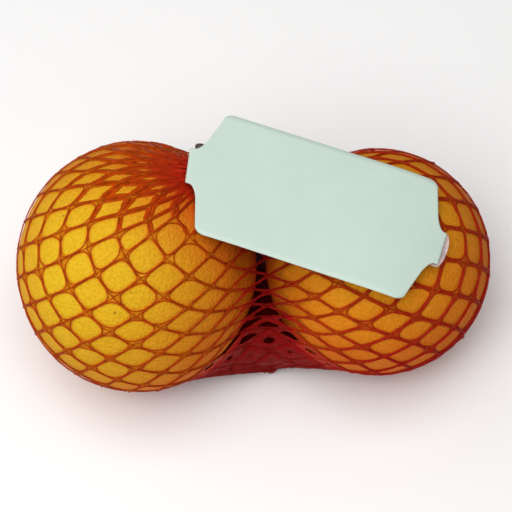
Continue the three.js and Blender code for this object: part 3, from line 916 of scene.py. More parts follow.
def strand_shares(net):
    """How far each strand is opened out at its upper and lower knot, as shares of its length."""
    rng = np.random.default_rng(NET_SEED)
    shape = (net.rows, net.meshes_round, 2, 2)
    return np.clip(rng.normal(net.knot_share, KNOT_SHARE_SPREAD, shape), *KNOT_SHARE_LIMITS)


def cell_corners(drawn, net):
    """Corners of every cell, top, left, bottom, right, and the opened share of each side at both its ends."""
    knots, shares = drawn["knots"], strand_shares(net)
    rows, columns = net.rows, net.meshes_round
    corners, opened = [], []

    def place_of(half, row):
        return row, ((half - row % 2) // 2) % columns

    def side(upper, lower):
        which = 0 if upper[1] == lower[1] else 1
        return shares[upper[0], upper[1], which]

    for row in range(1, rows):
        for half in range(1 - row % 2, 2 * columns, 2):
            top, left, bottom, right = (
                place_of(half, row - 1),
                place_of(half - 1, row),
                place_of(half, row + 1),
                place_of(half + 1, row),
            )
            top_left, left_bottom = side(top, left), side(left, bottom)
            bottom_right, right_top = side(right, bottom), side(top, right)
            corners.append([knots[c] for c in (top, left, bottom, right)])
            before = (right_top[0], top_left[1], left_bottom[1], bottom_right[0])
            after = (top_left[0], left_bottom[0], bottom_right[1], right_top[1])
            opened.append(list(zip(before, after)))
    return np.array(corners), np.array(opened)


def opened_points(corners, opened):
    """Where the sides of each cell open out, before and after every corner."""
    before = corners + (np.roll(corners, 1, axis=1) - corners) * opened[..., 0:1]
    after = corners + (np.roll(corners, -1, axis=1) - corners) * opened[..., 1:2]
    return before, after


def touch_of(drawn):
    """Where along X the two fruit touch."""
    (left, left_halves), (right, right_halves) = drawn["shapes"]
    return (left[0] + left_halves[0] + right[0] - right_halves[0]) / 2


def over_smaller(places, drawn):
    """How far over the smaller fruit places along X are: 0 where the fruit touch, 1 from its middle on."""
    middle = drawn["shapes"][1][0][0]
    return ramp((touch_of(drawn), middle), places)


def thread_height(points, drawn, net):
    """How high over the table the middle of the thread is kept at each point."""
    return net.thread * TABLE_LIFT * (1 + HEAVIER * over_smaller(points[..., 0], drawn))


def cell_loops(drawn, net):
    """The thread round each cell: close beside the sides' middles, cutting across the corners."""
    corners, opened = cell_corners(drawn, net)
    rng = np.random.default_rng(NET_SEED + 1)
    before, after = opened_points(corners, opened)
    chord = (before + after) / 2
    bulge = rng.uniform(*CORNER_BULGE, chord.shape[:2] + (1,))
    corner = chord + (corners - chord) * bulge
    centre = corners.mean(axis=1, keepdims=True)
    beside = BESIDE * net.thread * (1 + BESIDE_MORE * over_smaller(centre[..., 0:1], drawn))

    def inset(points, sides):
        """Points moved in from the cell's sides, straight away from them."""
        inward = centre - points
        inward -= (inward * sides).sum(-1, keepdims=True) * sides
        room = np.linalg.norm(inward, axis=-1, keepdims=True)
        return points + inward / np.maximum(room, 1e-9) * np.minimum(beside, room * BESIDE_MOST)

    before = inset(before, unit(np.roll(corners, 1, axis=1) - corners))
    after = inset(after, unit(np.roll(corners, -1, axis=1) - corners))
    loops = np.stack([before, corner, after], axis=2).reshape(len(corners), -1, 3)
    # Every corner is cut once, so that the thread runs round it.
    cut_before = 0.75 * loops + 0.25 * np.roll(loops, -1, axis=1)
    cut_after = 0.25 * loops + 0.75 * np.roll(loops, -1, axis=1)
    loops = np.stack([cut_before, cut_after], axis=2).reshape(len(corners), -1, 3)
    lift = net.thread * rng.uniform(*LOOP_LIFT, (len(loops), 1, 1))
    loops = push_out(loops, drawn["shapes"], lift)
    return above_table(loops, drawn["floor"] + thread_height(loops, drawn, net))


def through_lines(drawn, net):
    """The threads that run straight on from strand to strand, from neck to tail, one way and the other."""
    knots, shares, shapes = drawn["knots"], strand_shares(net), drawn["shapes"]
    rng = np.random.default_rng(NET_SEED + 2)
    columns = net.meshes_round
    lines = []
    for way, knot_lift in enumerate(KNOT_LIFTS):
        for start in range(columns):
            column = start
            points, lifts = [drawn["neck_end"][start]], [1.0]
            for row in range(net.rows):
                same = (row % 2 == 0) == (way == 0)
                below = column if same else (column + (-1 if row % 2 == 0 else 1)) % columns
                upper, lower = knots[row, column], knots[row + 1, below]
                opened = shares[row, column, 0 if same else 1]
                stray = rng.normal(0, STRAY, 3)
                points.append(upper + (stray if row else 0))
                lifts.append(knot_lift)
                for share in (opened[0] * 0.5, opened[0], 0.5, 1 - opened[1], 1 - opened[1] * 0.5):
                    points.append(upper + (lower - upper) * share + rng.normal(0, STRAY * STRAY_BETWEEN, 3))
                    lifts.append(STRAND_LIFT)
                column = below
            points += [knots[net.rows, column], drawn["tail_end"][column]]
            lifts += [1.0, 1.0]
            heights = (np.array(lifts) * net.thread)[:, None]
            line = push_out(np.array(points), shapes, heights)
            lines.append(above_table(line, drawn["floor"] + thread_height(line, drawn, net)))
    return lines


def bunched_and_shade(points, drawn):
    """How closely the net is bunched at each point, and how deep its painted shade: 0 on the rinds, 1 at the
    neck, 2 deep in the groove.
    """
    from_neck = ramp(BUNCHED_NECK, np.linalg.norm(points - drawn["neck_end"].mean(axis=0), axis=-1))
    at_neck = BUNCHED_AT_NECK * (1 - from_neck)
    # Painted shade where the net stands off the rind.
    lifted = from_neck * ramp(STAND_OFF_SHADE, stand_off(points, drawn["shapes"]))
    # Painted shade in the groove, under the pack, on the flanks that face down and over the smaller fruit.
    aside = np.abs(points[..., 0] - touch_of(drawn))
    in_groove = BUNCHED_SHADE * (1 - ramp(GROOVE_SHADE_REACH, aside))
    under = (1 - ramp(UNDER_SHADE_REACH, aside)) * (1 - ramp(UNDER_SHADE_HEIGHT, points[..., 2] - drawn["floor"]))
    on_flank = FLANK_PAINTED_SHADE * (1 - ramp(FLANK_SHADE_FACING, outward(points, drawn["shapes"])[..., 2]))
    on_flank += SMALLER_SHADE_AND_THICKER * over_smaller(points[..., 0], drawn)
    return np.maximum.reduce([2 * lifted, at_neck, 2 * in_groove, 2 * under, on_flank])


def line_mesh(name, lines, drawn, closed, weights):
    """A mesh of bare edges along each line, with the way out and the thread's weight at each point."""
    points = np.concatenate(lines)
    edges = []
    start = 0
    for line in lines:
        ends = np.arange(start, start + len(line))
        pairs = np.stack([ends, np.roll(ends, -1)], axis=1)
        edges.append(pairs if closed else pairs[:-1])
        start += len(line)
    mesh = mesh_from(name, points, edges=np.concatenate(edges))
    store(mesh, "lie", "FLOAT_VECTOR", outward(points, drawn["shapes"]))
    store(mesh, "bunched_and_shade", "FLOAT", bunched_and_shade(points, drawn))
    store(mesh, "weight", "FLOAT", weights)
    return mesh


def thread_weights(points, drawn, seed, spread):
    """How thick the thread is at each point, a little uneven and heavier over the smaller fruit."""
    heavier = 1 + HEAVIER * over_smaller(points[:, 0], drawn)
    uneven = np.random.default_rng(seed).normal(1.0, spread, len(points))
    return heavier * np.clip(uneven, *WEIGHT_LIMITS)


# ---- The rinds and their stem buttons ----
def cube_sphere(grid):
    """Unit directions and quads of a cube's six faces, blown up to a ball, with the seams merged."""
    spread = np.tan(np.linspace(-math.pi / 4, math.pi / 4, grid + 1))
    u, v = np.meshgrid(spread, spread, indexing="ij")
    one = np.ones_like(u)
    sides = [(one, u, v), (-one, v, u), (v, one, u), (u, -one, v), (u, v, one), (v, u, -one)]
    points = np.concatenate([np.stack(side, axis=-1).reshape(-1, 3) for side in sides])
    corner = np.arange((grid + 1) ** 2).reshape(grid + 1, grid + 1)
    quads = np.stack([corner[:-1, :-1], corner[1:, :-1], corner[1:, 1:], corner[:-1, 1:]], axis=-1)
    faces = np.concatenate([quads.reshape(-1, 4) + side * corner.size for side in range(6)])
    rounded, index = np.unique(np.round(points, 6), axis=0, return_inverse=True)
    return unit(rounded), index.reshape(-1)[faces]


def smooth_fruit(directions, shape, stem_way, seed):
    """An ellipsoid with a hollow round its stem, a flat at its blossom end and a slightly uneven girth."""
    centre, halves = shape
    stem_way = unit(np.array(stem_way))
    towards_stem = np.degrees(np.arccos(np.clip(directions @ stem_way, -1, 1)))
    towards_tip = 180 - towards_stem
    hollow = -STEM_HOLLOW * (1 - smooth(3.0, 21.0, towards_stem))
    hollow -= TIP_FLAT * (1 - smooth(2.0, 16.0, towards_tip))
    side = unit(np.cross(stem_way, (0.3, 0.5, 0.8)))
    other = np.cross(stem_way, side)
    turn = np.arctan2(directions @ other, directions @ side)
    ribs = np.cos(5 * turn + seed) * 0.5 + np.cos(8 * turn + 2.1 * seed) * 0.3
    ribbing = STEM_RIBS * ribs * np.exp(-(((towards_stem - 16) / 13) ** 2))
    return centre + directions * halves + unit(directions / halves) * (hollow + ribbing)[:, None]


def orange_share(directions, points, other_shape, tone_and_shade, neck):
    """How orange each point of a rind is: its own tone, with painted shade away from the lights and facing
    the other fruit, and more orange by the neck.
    """
    way, middle, slope, most = tone_and_shade
    # Painted shade away from the lights, over the fruit's own tone.
    share = np.clip(middle + slope * (directions @ unit(np.array(way))), 0, most)
    # Painted shade where the rind faces the other fruit.
    share += RIND_GROOVE_SHADE * (1 - smooth(0, GROOVE_REACH, over_rind(points, other_shape)))
    share += NECK_ORANGE * (1 - ramp(NECK_REACH, np.linalg.norm(points - neck, axis=-1)))
    return np.clip(share, 0, 1)


def near_net_values(points, drawn, net):
    """How much red light each point of the rind gets from the strands beside it."""
    samples = np.concatenate([*cell_loops(drawn, net), *through_lines(drawn, net)])
    tree = kdtree.KDTree(len(samples))
    for index, sample in enumerate(samples):
        tree.insert(sample, index)
    tree.balance()
    distance = np.array([tree.find(point)[2] for point in points])
    return GLOW_SHARE * (1 - smooth(*GLOW_REACH, distance))


def stem_button(name, shape, way, radius):
    """The dry star-shaped stem button that sits in the hollow."""
    centre, halves = shape
    way = unit(np.array(way))
    side = unit(np.cross(way, (0.3, 0.5, 0.8)))
    other = np.cross(way, side)
    seat = centre + way * halves - way * STEM_HOLLOW
    turns = np.linspace(0, 2 * math.pi, 40, endpoint=False)
    edge = radius * (1 + 0.16 * np.cos(5 * turns) + 0.05 * np.cos(11 * turns + 1))
    rings = []
    for lean in np.concatenate([[-0.4], np.linspace(0, math.pi / 2, 9)[:-1], [0.97 * math.pi / 2]]):
        reach = edge * math.cos(lean)
        rise = STEM_RISE * math.sin(lean) - STEM_DIP * math.exp(-((math.cos(lean) / 0.3) ** 2))
        spokes = np.outer(reach * np.cos(turns), side) + np.outer(reach * np.sin(turns), other)
        rings.append(seat + spokes + way * rise)
    return ring_mesh(name, rings)


# ---- Closed meshes through rings ----
def ring_mesh(name, rings):
    """A closed skin through rings of equal count, with a flat end on the first and the last."""
    rings = np.asarray(rings)
    steps, count = rings.shape[:2]
    corner = np.arange(steps * count).reshape(steps, count)
    following = np.roll(corner, -1, axis=1)
    quads = np.stack([corner[:-1], following[:-1], following[1:], corner[1:]], axis=-1).reshape(-1, 4)
    points = rings.reshape(-1, 3)
    centre = points.mean(0)
    corners = points[quads] - centre
    volume = np.einsum("ij,ij->", corners[:, 0], np.cross(corners[:, 1], corners[:, 2]))
    volume += np.einsum("ij,ij->", corners[:, 0], np.cross(corners[:, 2], corners[:, 3]))
    faces = quads.tolist() + [corner[0][::-1].tolist(), corner[-1].tolist()]
    if volume < 0:
        faces = [face[::-1] for face in faces]
    mesh = mesh_from(name, points, faces)
    mesh.shade_smooth()
    return mesh


def finished_mesh(name, mesh, material):
    mesh.materials.append(material)
    return add_object(name, mesh)


# ---- The net's tape ----
def knot_film(name, drawn, net):
    """A thin patch of flattened tape in each corner of each cell, from the knot to the thread across it."""
    corners, opened = cell_corners(drawn, net)
    rng = np.random.default_rng(NET_SEED + 3)
    before, after = opened_points(corners, opened)
    across = (before + after) / 2
    across += (corners - across) * FILM_BULGE
    quads = np.stack([corners, after, across, before], axis=2).reshape(-1, 4, 3)
    quads = quads[rng.random(len(quads)) > FILM_MISSING]
    heart = quads.mean(axis=1, keepdims=True)
    sheet = np.concatenate([quads, heart], axis=1)
    lifts = net.film_lift * np.array(FILM_LIFTS)[:, None]
    lower = push_out(sheet, drawn["shapes"], lifts)
    lower = above_table(lower, drawn["floor"] + net.film_lift)
    way = outward(lower.reshape(-1, 3), drawn["shapes"]).reshape(lower.shape)
    upper = lower + way * FILM_THICKNESS
    points = np.concatenate([lower, upper], axis=1).reshape(-1, 3)
    tops = [(5, 6, 9), (6, 7, 9), (7, 8, 9), (8, 5, 9)]
    bottoms = [(1, 0, 4), (2, 1, 4), (3, 2, 4), (0, 3, 4)]
    walls = [(k, (k + 1) % 4, (k + 1) % 4 + 5, k + 5) for k in range(4)]
    starts = np.arange(len(quads)) * 10
    faces = [tuple(start + k for k in face) for start in starts for face in tops + bottoms + walls]
    mesh = mesh_from(name, points, faces)
    store(mesh, "bunched_and_shade", "FLOAT", bunched_and_shade(points, drawn))
    mesh.shade_smooth()
    return mesh


def slack_cells(drawn, net):
    """The cells with slack tape: their corners, their rows and how far their place lets them open."""
    corners, _ = cell_corners(drawn, net)
    row = np.repeat(np.arange(1, net.rows), net.meshes_round)
    heart = corners.mean(axis=1)
    rise = heart[:, 2] - drawn["floor"]
    in_front = heart[:, 1] < drawn["shapes"][0][0][1]
    furthest = stand_off(corners, drawn["shapes"]).max(axis=1)
    slack = furthest > GATHER_FROM + GATHER_FROM_HIGH * ramp(GATHER_LYING, rise) * in_front
    slack |= row <= NECK_ROWS
    high = ramp(GATHER_HEIGHT, rise) * np.where(in_front, 1.0, GATHER_BEHIND)
    return corners[slack], row[slack], high[slack]


def still_open(row, high, rows):
    """How far the slack tape leaves its cells open, from the neck down to the base."""
    first, last = (rows - count for count in GATHER_ROWS)
    share = np.minimum(high, 1 - smooth(first, last, row))
    in_groove = GATHER_CLOSED + (GATHER_OPEN - GATHER_CLOSED) * share
    by_neck = NECK_OPEN * ((row - 0.95) / NECK_ROWS) ** NECK_OPENING
    return np.where(row <= NECK_ROWS, by_neck, in_groove)


def gather_film(name, drawn, net):
    """The slack tape in the cells that bridge the groove: a crumpled frame round each."""
    corners, row, high = slack_cells(drawn, net)
    rng = np.random.default_rng(NET_SEED + 6)
    opening = still_open(row, high, net.rows) * rng.uniform(*GATHER_SPREAD, len(row))
    sides = np.roll(corners, -1, axis=1) - corners
    steps = CELL_POINTS // 4
    outer = np.stack([corners + sides * (step / steps) for step in range(steps)], axis=2)
    outer = outer.reshape(len(row), CELL_POINTS, 3)
    heart = corners.mean(axis=1, keepdims=True)
    at_corner = np.arange(CELL_POINTS) % steps == 0
    corner_reach = np.where(row <= NECK_ROWS, NECK_ROUNDED, GATHER_ROUNDED)[:, None]
    rounding = np.where(at_corner, corner_reach, 1.0)[:, :, None]
    rounding = rounding * rng.uniform(*GATHER_RAGGED, (len(row), CELL_POINTS, 1))
    inner = heart + (outer - heart) * opening[:, None, None] * rounding
    sheet = np.stack([outer, (outer + inner) / 2, inner], axis=1)
    way = outward(sheet.reshape(-1, 3), drawn["shapes"]).reshape(sheet.shape)
    crumple = rng.normal(0, GATHER_CRUMPLE, sheet.shape[:3] + (1,)) * np.array(CRUMPLE_RINGS)[:, None, None]
    crumple *= (GATHER_CALM + (1 - GATHER_CALM) * high)[:, None, None, None]
    lower = push_out(sheet + way * crumple, drawn["shapes"], net.film_lift)
    lower = above_table(lower, drawn["floor"] + net.film_lift)
    points = np.stack([lower, lower + way * FILM_THICKNESS], axis=1).reshape(-1, 3)
    ring = np.arange(6 * CELL_POINTS).reshape(6, CELL_POINTS)
    ahead = np.roll(ring, -1, axis=1)
    bands = [np.stack([ring[a], ring[b], ahead[b], ahead[a]], axis=1) for a, b in TAPE_BANDS]
    faces = np.concatenate(bands) + ring.size * np.arange(len(row))[:, None, None]
    mesh = mesh_from(name, points, faces.reshape(-1, 4))
    store(mesh, "bunched_and_shade", "FLOAT", bunched_and_shade(points, drawn))
    mesh.shade_smooth()
    return mesh


# ---- The label strip and what fastens it ----
def half_width_at(label, along):
    """Half of the strip's width: full, then rounded corners, slanted shoulders and narrow necks."""
    reach = np.abs(along)
    neck = np.where(along < 0, label.left_neck_half, label.right_neck_half)
    turn = np.arcsin(np.clip((reach - label.body_half + label.corner) / label.corner, 0, 1))
    body = label.half_width - label.corner * CORNER_SHARE * (1 - np.cos(turn))
    body_end = label.half_width - label.corner * CORNER_SHARE
    slant = np.clip((reach - label.body_half) / (label.shoulder_end - label.body_half), 0, 1)
    shoulder = body_end + (label.shoulder_half - body_end) * slant
    left = 1 - np.clip((reach - label.shoulder_end) / (label.neck_start - label.shoulder_end), 0, 1)
    waist = neck + (label.shoulder_half - neck) * left**2
    return np.where(reach <= label.body_half, body, np.where(reach <= label.shoulder_end, shoulder, waist))


def droop_at(label, along):
    """How far the strip's right end bends down."""
    return label.droop * np.maximum(0, (along - label.droop_start) / (label.tip - label.droop_start)) ** 2


def lean_at(label, along):
    """How far the strip is skewed along itself, per width."""
    body = label.body_lean * (label.tip - along) / (2 * label.tip)
    return -body - (label.neck_lean - body) * smooth(label.body_half, label.tip, -along)


def label_course(label):
    """The strip's course, flap, fold, face, fold, flap: along, above, facing and side at each step."""
    tip = label.tip
    left = (label.left_hem + label.thickness) / 2
    right = (label.right_hem + label.thickness) / 2
    course = [(-tip + label.hem_length * share, -2 * left, -1, 0) for share in reversed(FLAP_STEPS)]
    for turn in np.linspace(0, math.pi, FOLD_STEPS + 1):
        facing, side = -math.cos(turn), -math.sin(turn)
        course.append((-tip + left * side, left * (facing - 1), facing, side))
    corner_start = label.body_half - label.corner
    stops = np.concatenate(
        [
            np.linspace(0, corner_start, 20, endpoint=False),
            corner_start + label.corner * np.sin(np.linspace(0, math.pi / 2, 9)),
            np.linspace(label.body_half, label.shoulder_end, 9),
            np.linspace(label.shoulder_end, tip, 12, endpoint=False),
        ]
    )
    for along in np.unique(np.round(np.concatenate([-stops, stops]), 6)):
        course.append((along, 0, 1, 0))
    for turn in np.linspace(0, math.pi, FOLD_STEPS + 1):
        facing, side = math.cos(turn), math.sin(turn)
        course.append((tip + right * side, right * (facing - 1), facing, side))
    course += [(tip - label.hem_length * share, -2 * right, -1, 0) for share in FLAP_STEPS]
    return course


def label_mesh(name, label):
    """The strip as a thin closed sheet with soft edges and a slight wave in its face."""
    place = label_place(label)
    half = label.thickness / 2
    steps = np.linspace(1, -1, ACROSS_STEPS)
    counts = (ACROSS_STEPS, 1, ACROSS_STEPS, 1)
    shares = np.concatenate([steps, [-1], steps[::-1], [1]])
    outs = np.repeat((half, 0.0, -half, 0.0), counts)
    edge = np.repeat((0.0, -0.3 * label.thickness, 0.0, 0.3 * label.thickness), counts)
    rings = []
    for along, above, facing, side in label_course(label):
        folded = facing < 0.99
        neck = label.left_neck_half if along < 0 else label.right_neck_half
        width = neck * (0.95 + 0.05 * facing) if folded else half_width_at(label, along)
        across = shares * width + edge
        calm = 1 - smooth(0.55 * label.body_half, label.body_half, abs(along))
        ripples = np.sin(70 * along + 0.6) * np.cos(95 * across) + np.cos(41 * along - 52 * across)
        wave = LABEL_WAVE * calm * ripples
        lengthwise = along + outs * side + lean_at(label, along) * across
        upwards = above + outs * facing - droop_at(label, along) + wave * max(facing, 0)
        rings.append(on_label(place, lengthwise, across, upwards))
    return ring_mesh(name, rings)


def hem_tail_mesh(name, label):
    """The gathered net's cut end in the left hem: cords pressed into one ribbed plug with a melted end."""
    place = label_place(label)
    upwards, lengthwise = place[:3, 2], place[:3, 0]
    hem_edge = label.left_neck_half
    start, end = -hem_edge + MM, hem_edge + HEM_TAIL_OUT
    turns = np.linspace(0, 2 * math.pi, 72, endpoint=False)
    rings = []
    melted = (0.955, 0.975, 0.99, 0.998, 1.0)
    for share in np.concatenate([(0.0, 0.004), np.linspace(0.015, 0.93, 34), melted]):
        across = start + (end - start) * share
        outside = smooth(hem_edge - 0.2 * MM, hem_edge + 2.4 * MM, across)
        round_end = math.sqrt(max(0.03, 1 - max(0.0, (share - 0.9) / 0.1) ** 2))
        round_end *= min(1.0, 0.3 + 60 * share)
        twist = 2.4 * share
        ribs = 1 - 0.10 * (1 - 0.6 * outside) * np.abs(np.sin(7 * (turns + twist)))
        ribs += 0.05 * np.sin(3 * turns + 9 * share) * outside
        thick = (label.left_hem / 2 - 0.3 * MM) * (1 + 0.5 * outside) * round_end
        along = -label.tip + HEM_TAIL_IN + lean_at(label, -label.tip) * across
        sink = -label.thickness / 2 - label.left_hem / 2 - 0.27 * MM * outside
        centre = on_label(place, along, across, sink)
        ring = centre + np.outer(thick * np.cos(turns) * ribs, upwards)
        wide = HEM_TAIL_WIDE * (1 + 0.22 * outside) * round_end
        rings.append(ring + np.outer(wide * np.sin(turns) * ribs, lengthwise))
    return ring_mesh(name, rings)


def clear_tie_mesh(name, label):
    """A tongue of clear film under the right hem, its free end rounded, curled up and a little crumpled."""
    place = label_place(label)
    under = -label.thickness * 1.5 - label.right_hem - 0.3 * MM
    shares = np.linspace(1, -1, 19)
    rings = []
    for t in np.linspace(0, 1, 36):
        along = label.tip - TIE_START + TIE_LENGTH * t
        round_end = math.sqrt(max(0.04, 1 - max(0.0, (t - 0.55) / 0.45) ** 2))
        across = shares * (label.right_neck_half + 0.6 * MM) * round_end
        curl = TIE_CURL * smooth(0.6, 1.0, t)
        crumple = 0.12 * MM * t * np.sin(900 * across + 5 * t) + 0.1 * MM * t * np.cos(1500 * across + 11 * t)
        height = under + curl - droop_at(label, min(along, label.tip)) + crumple
        top = on_label(place, along, across, height)
        bottom = on_label(place, along, across[::-1], height[::-1] - TIE_THICKNESS)
        rings.append(np.concatenate([top, bottom]))
    return ring_mesh(name, rings)


def base_weld_mesh(name):
    """The pleated button that the sack's gathered base is melted into."""
    turns = np.linspace(0, 2 * math.pi, 96, endpoint=False)
    side = np.array((1.0, 0.0, 0.0))
    other = np.cross(BASE_AXIS, side)
    foot = base_centre() + BASE_AXIS * (BASE_TAIL + BASE_GAP)
    half = WELD_HEIGHT / 2
    profile = [(0.15, 0.02), (0.45, 0.0), (0.65, 0.0)]
    for turn in np.linspace(-math.pi / 2, math.pi / 2, 13):
        reach = WELD_RADIUS - half + half * math.cos(turn)
        profile.append((reach / WELD_RADIUS, 0.5 + 0.5 * math.sin(turn)))
    profile += [(0.5, 0.95), (0.3, 0.86), (0.12, 0.8)]
    rings = []
    for reach, rise in profile:
        pleats = 1 - 0.07 * reach * (0.5 + 0.5 * np.cos(12 * turns + 1.5 * rise))
        pleats -= 0.03 * np.cos(5 * turns + 1)
        pleats = pleats / pleats.max()
        out = np.outer(np.cos(turns), side) + np.outer(np.sin(turns), other)
        rings.append(foot + BASE_AXIS * rise * WELD_HEIGHT + out * (reach * WELD_RADIUS * pleats)[:, None])
    return ring_mesh(name, rings)


# ---- Operators ----
class POMELOS_OT_fruit(bpy.types.Operator):
    """Make the two pomelos and their stem buttons"""

    bl_idname = "pomelos.fruit"
    bl_label = "Pomelos"

    def execute(self, context):
        fruit, net = context.scene.pomelo_fruit, context.scene.pomelo_net
        drawn = get_net(context)
        tree = rind_tree()
        directions, faces = cube_sphere(fruit.grid)
        stem = stem_material()
        rind = rind_material(fruit)
        left, right = drawn["shapes"]
        sides = (
            ("left", left, right, LEFT_STEM_WAY, LEFT_TONE_AND_SHADE, 1.0),
            ("right", right, left, RIGHT_STEM_WAY, RIGHT_TONE_AND_SHADE, 3.0),
        )
        for side, shape, other_shape, stem_way, tone_and_shade, seed in sides:
            points = smooth_fruit(directions, shape, stem_way, seed)
            mesh = mesh_from("pomelo_" + side, points, faces)
            store(mesh, "near_net", "FLOAT", near_net_values(points, drawn, net))
            neck = drawn["neck_end"].mean(axis=0)
            store(mesh, "orange_and_shade", "FLOAT", orange_share(directions, points, other_shape, tone_and_shade, neck))
            values = {
                "Unevenness": fruit.unevenness,
                "Pore pitch": fruit.pore_pitch,
                "Pore depth": fruit.pore_depth,
                "Material": rind,
            }
            piece = run_tree("pomelo_" + side, mesh, tree, values)
            settle_piece(piece, ["filled_net"])
            button = stem_button("stem_" + side, shape, stem_way, STEM_RADIUS)
            settle_piece(finished_mesh("stem_" + side, button, stem))
        return {"FINISHED"}


def swept_piece(name, mesh, net, material):
    """Sweeps a mesh of lines into threads that stand in for the imported net."""
    values = {
        "Radius": net.thread,
        "Flatness": THREAD_FLATNESS,
        "Sides": THREAD_SIDES,
        "Material": material,
    }
    piece = run_tree(name, mesh, thread_tree(), values)
    if not piece.data.polygons:
        raise RuntimeError(name + " came out empty")
    return settle_piece(piece, ["filled_net"])


class POMELOS_OT_net_loops(bpy.types.Operator):
    """Make the threads round the net's cells"""

    bl_idname = "pomelos.net_loops"
    bl_label = "Net loops"

    def execute(self, context):
        net = context.scene.pomelo_net
        drawn = get_net(context)
        loops = cell_loops(drawn, net)
        weights = thread_weights(loops.reshape(-1, 3), drawn, NET_SEED + 4, LOOP_WEIGHT_SPREAD)
        mesh = line_mesh("net_loops", loops, drawn, True, weights)
        swept_piece("net_loops", mesh, net, thread_material(net))
        return {"FINISHED"}


class POMELOS_OT_net_strands(bpy.types.Operator):
    """Make the threads that run from the neck to the base"""

    bl_idname = "pomelos.net_strands"
    bl_label = "Net strands"

    def execute(self, context):
        net = context.scene.pomelo_net
        drawn = get_net(context)
        lines = through_lines(drawn, net)
        weights = thread_weights(np.concatenate(lines), drawn, NET_SEED + 5, STRAND_WEIGHT_SPREAD)
        mesh = line_mesh("net_strands", lines, drawn, False, weights)
        swept_piece("net_strands", mesh, net, thread_material(net))
        return {"FINISHED"}


class POMELOS_OT_net_film(bpy.types.Operator):
    """Make the flattened tape in the net's knots"""

    bl_idname = "pomelos.net_film"
    bl_label = "Net film"

    def execute(self, context):
        net = context.scene.pomelo_net
        mesh = knot_film("net_film", get_net(context), net)
        piece = finished_mesh("net_film", mesh, knot_material(net))
        settle_piece(piece, ["filled_net"])
        return {"FINISHED"}


class POMELOS_OT_net_gather(bpy.types.Operator):
    """Make the slack tape in the groove between the fruit and at the base"""

    bl_idname = "pomelos.net_gather"
    bl_label = "Net gather"

    def execute(self, context):
        net = context.scene.pomelo_net
        mesh = gather_film("net_gather", get_net(context), net)
        piece = finished_mesh("net_gather", mesh, slack_material(net))
        settle_piece(piece, ["filled_net"])
        return {"FINISHED"}


class POMELOS_OT_label(bpy.types.Operator):
    """Make the label strip"""

    bl_idname = "pomelos.label"
    bl_label = "Label"

    def execute(self, context):
        label = context.scene.pomelo_label
        piece = finished_mesh("label_strip", label_mesh("label_strip", label), paper_material(label))
        settle_piece(piece, ["label"])
        return {"FINISHED"}


class POMELOS_OT_hem_tail(bpy.types.Operator):
    """Make the net's cut tail in the left hem"""

    bl_idname = "pomelos.hem_tail"
    bl_label = "Hem tail"

    def execute(self, context):
        label = context.scene.pomelo_label
        # Painted shade: the cut end is dark brown as the shadowed inside of the hem.
        material = net_material("Net tail", label.tail, alpha=1.0, roughness=0.28)
        piece = finished_mesh("net_tail", hem_tail_mesh("net_tail", label), material)
        settle_piece(piece, ["hem_tail"])
        return {"FINISHED"}


class POMELOS_OT_clear_tie(bpy.types.Operator):
    """Make the clear tongue under the right hem"""

    bl_idname = "pomelos.clear_tie"
    bl_label = "Clear tie"

    def execute(self, context):
        label = context.scene.pomelo_label
        material = net_material("Clear film", label.tie, alpha=TIE_ALPHA, roughness=0.12, depth=0.00002)
        piece = finished_mesh("film_tie", clear_tie_mesh("film_tie", label), material)
        settle_piece(piece, ["clear_tie"])
        return {"FINISHED"}


class POMELOS_OT_base_weld(bpy.types.Operator):
    """Make the welded button under the sack's base"""

    bl_idname = "pomelos.base_weld"
    bl_label = "Base weld"

    def execute(self, context):
        net = context.scene.pomelo_net
        material = net_material("Net weld", darker(net.colour, 0.6), alpha=1.0, roughness=0.3)
        piece = finished_mesh("base_button", base_weld_mesh("base_button"), material)
        settle_piece(piece, ["base_weld"])
        return {"FINISHED"}


# ---- The stage ----
def add_area_light(middle, name, azimuth, elevation, distance, size, power, colour):
    data = bpy.data.lights.new(name, "AREA")
    data.size = size
    data.energy = power
    data.color = colour
    lamp = bpy.data.objects.new(name, data)
    back = back_vector(math.radians(azimuth), math.radians(elevation))
    lamp.location = middle + back * distance
    lamp.rotation_euler = back.to_track_quat("Z", "Y").to_euler()
    bpy.context.scene.collection.objects.link(lamp)


def back_vector(azimuth, elevation):
    """From the pack towards a viewer or a light. Azimuth 0 looks along +Y."""
    level = math.cos(elevation)
    return Vector((math.sin(azimuth) * level, -math.cos(azimuth) * level, math.sin(elevation)))


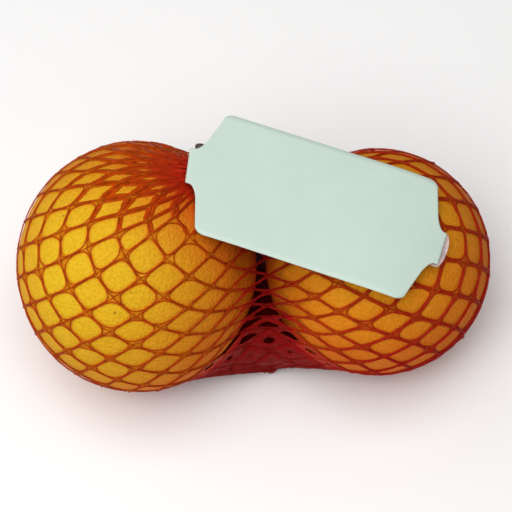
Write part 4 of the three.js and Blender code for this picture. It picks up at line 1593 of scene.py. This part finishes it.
class POMELOS_OT_studio(bpy.types.Operator):
    """Set up the floor, the lights and the camera"""

    bl_idname = "pomelos.studio"
    bl_label = "Studio"

    def execute(self, context):
        studio = context.scene.pomelo_studio
        low, high = (Vector(corner) for corner in CAD_BOX)
        middle = (low + high) / 2

        sides = ((-1, -1), (1, -1), (1, 1), (-1, 1))
        points = [(x * FLOOR_HALF, y * FLOOR_HALF, low.z) for x, y in sides]
        floor = add_object("studio_floor", mesh_from("studio_floor", points, [(0, 1, 2, 3)]))
        material, tree, shader, place = new_material("Studio floor")
        base = mix_colours(tree, mottle(tree, place, scale=3.0), darker(studio.floor, 0.99), studio.floor)
        tree.links.new(base, shader.inputs["Base Color"])
        shader.inputs["Roughness"].default_value = 0.9
        shader.inputs["Specular IOR Level"].default_value = 0.1
        floor.data.materials.append(material)

        world = bpy.data.worlds.new("Studio")
        world.use_nodes = True
        background = world.node_tree.nodes["Background"]
        background.inputs["Color"].default_value = (1.0, 1.0, 1.0, 1.0)
        background.inputs["Strength"].default_value = AMBIENT
        context.scene.world = world
        for light in LIGHTS:
            add_area_light(middle, *light)

        camera = bpy.data.objects.new("Camera", bpy.data.cameras.new("Camera"))
        camera.data.sensor_width = 36.0
        camera.data.lens = camera.data.sensor_width / 2 * studio.distance / studio.view_half
        camera.data.clip_start = 0.01
        back = back_vector(studio.azimuth, studio.elevation)
        camera.location = middle + Vector(LOOK_OFFSET) + back * studio.distance
        camera.rotation_euler = back.to_track_quat("Z", "Y").to_euler()
        context.scene.collection.objects.link(camera)
        context.scene.camera = camera
        context.scene.view_settings.view_transform = "Standard"
        return {"FINISHED"}


# ---- The add-on ----
OPERATORS = (
    POMELOS_OT_studio,
    POMELOS_OT_fruit,
    POMELOS_OT_net_loops,
    POMELOS_OT_net_strands,
    POMELOS_OT_net_film,
    POMELOS_OT_net_gather,
    POMELOS_OT_label,
    POMELOS_OT_hem_tail,
    POMELOS_OT_clear_tie,
    POMELOS_OT_base_weld,
)


class POMELOS_PT_panel(bpy.types.Panel):
    """Lists the pack's pieces and its sizes"""

    bl_idname = "POMELOS_PT_panel"
    bl_label = "Net of pomelos"
    bl_space_type = "VIEW_3D"
    bl_region_type = "UI"
    bl_category = "Pomelos"

    def draw(self, context):
        for operator in OPERATORS:
            self.layout.operator(operator.bl_idname)
        for name in SETTINGS:
            box = self.layout.box()
            settings = getattr(context.scene, name)
            for key in settings.__annotations__:
                box.prop(settings, key)


def register():
    for group in SETTINGS.values():
        bpy.utils.register_class(group)
    for name, group in SETTINGS.items():
        setattr(bpy.types.Scene, name, PointerProperty(type=group))
    for operator in OPERATORS:
        bpy.utils.register_class(operator)
    bpy.utils.register_class(POMELOS_PT_panel)


def unregister():
    bpy.utils.unregister_class(POMELOS_PT_panel)
    for operator in reversed(OPERATORS):
        bpy.utils.unregister_class(operator)
    for name in SETTINGS:
        delattr(bpy.types.Scene, name)
    for group in SETTINGS.values():
        bpy.utils.unregister_class(group)


def main():
    register()
    bpy.ops.pomelos.studio()
    bpy.ops.pomelos.fruit()
    bpy.ops.pomelos.net_loops()
    bpy.ops.pomelos.net_strands()
    bpy.ops.pomelos.net_film()
    bpy.ops.pomelos.net_gather()
    bpy.ops.pomelos.label()
    bpy.ops.pomelos.hem_tail()
    bpy.ops.pomelos.clear_tie()
    bpy.ops.pomelos.base_weld()


if __name__ == "__main__":
    main()
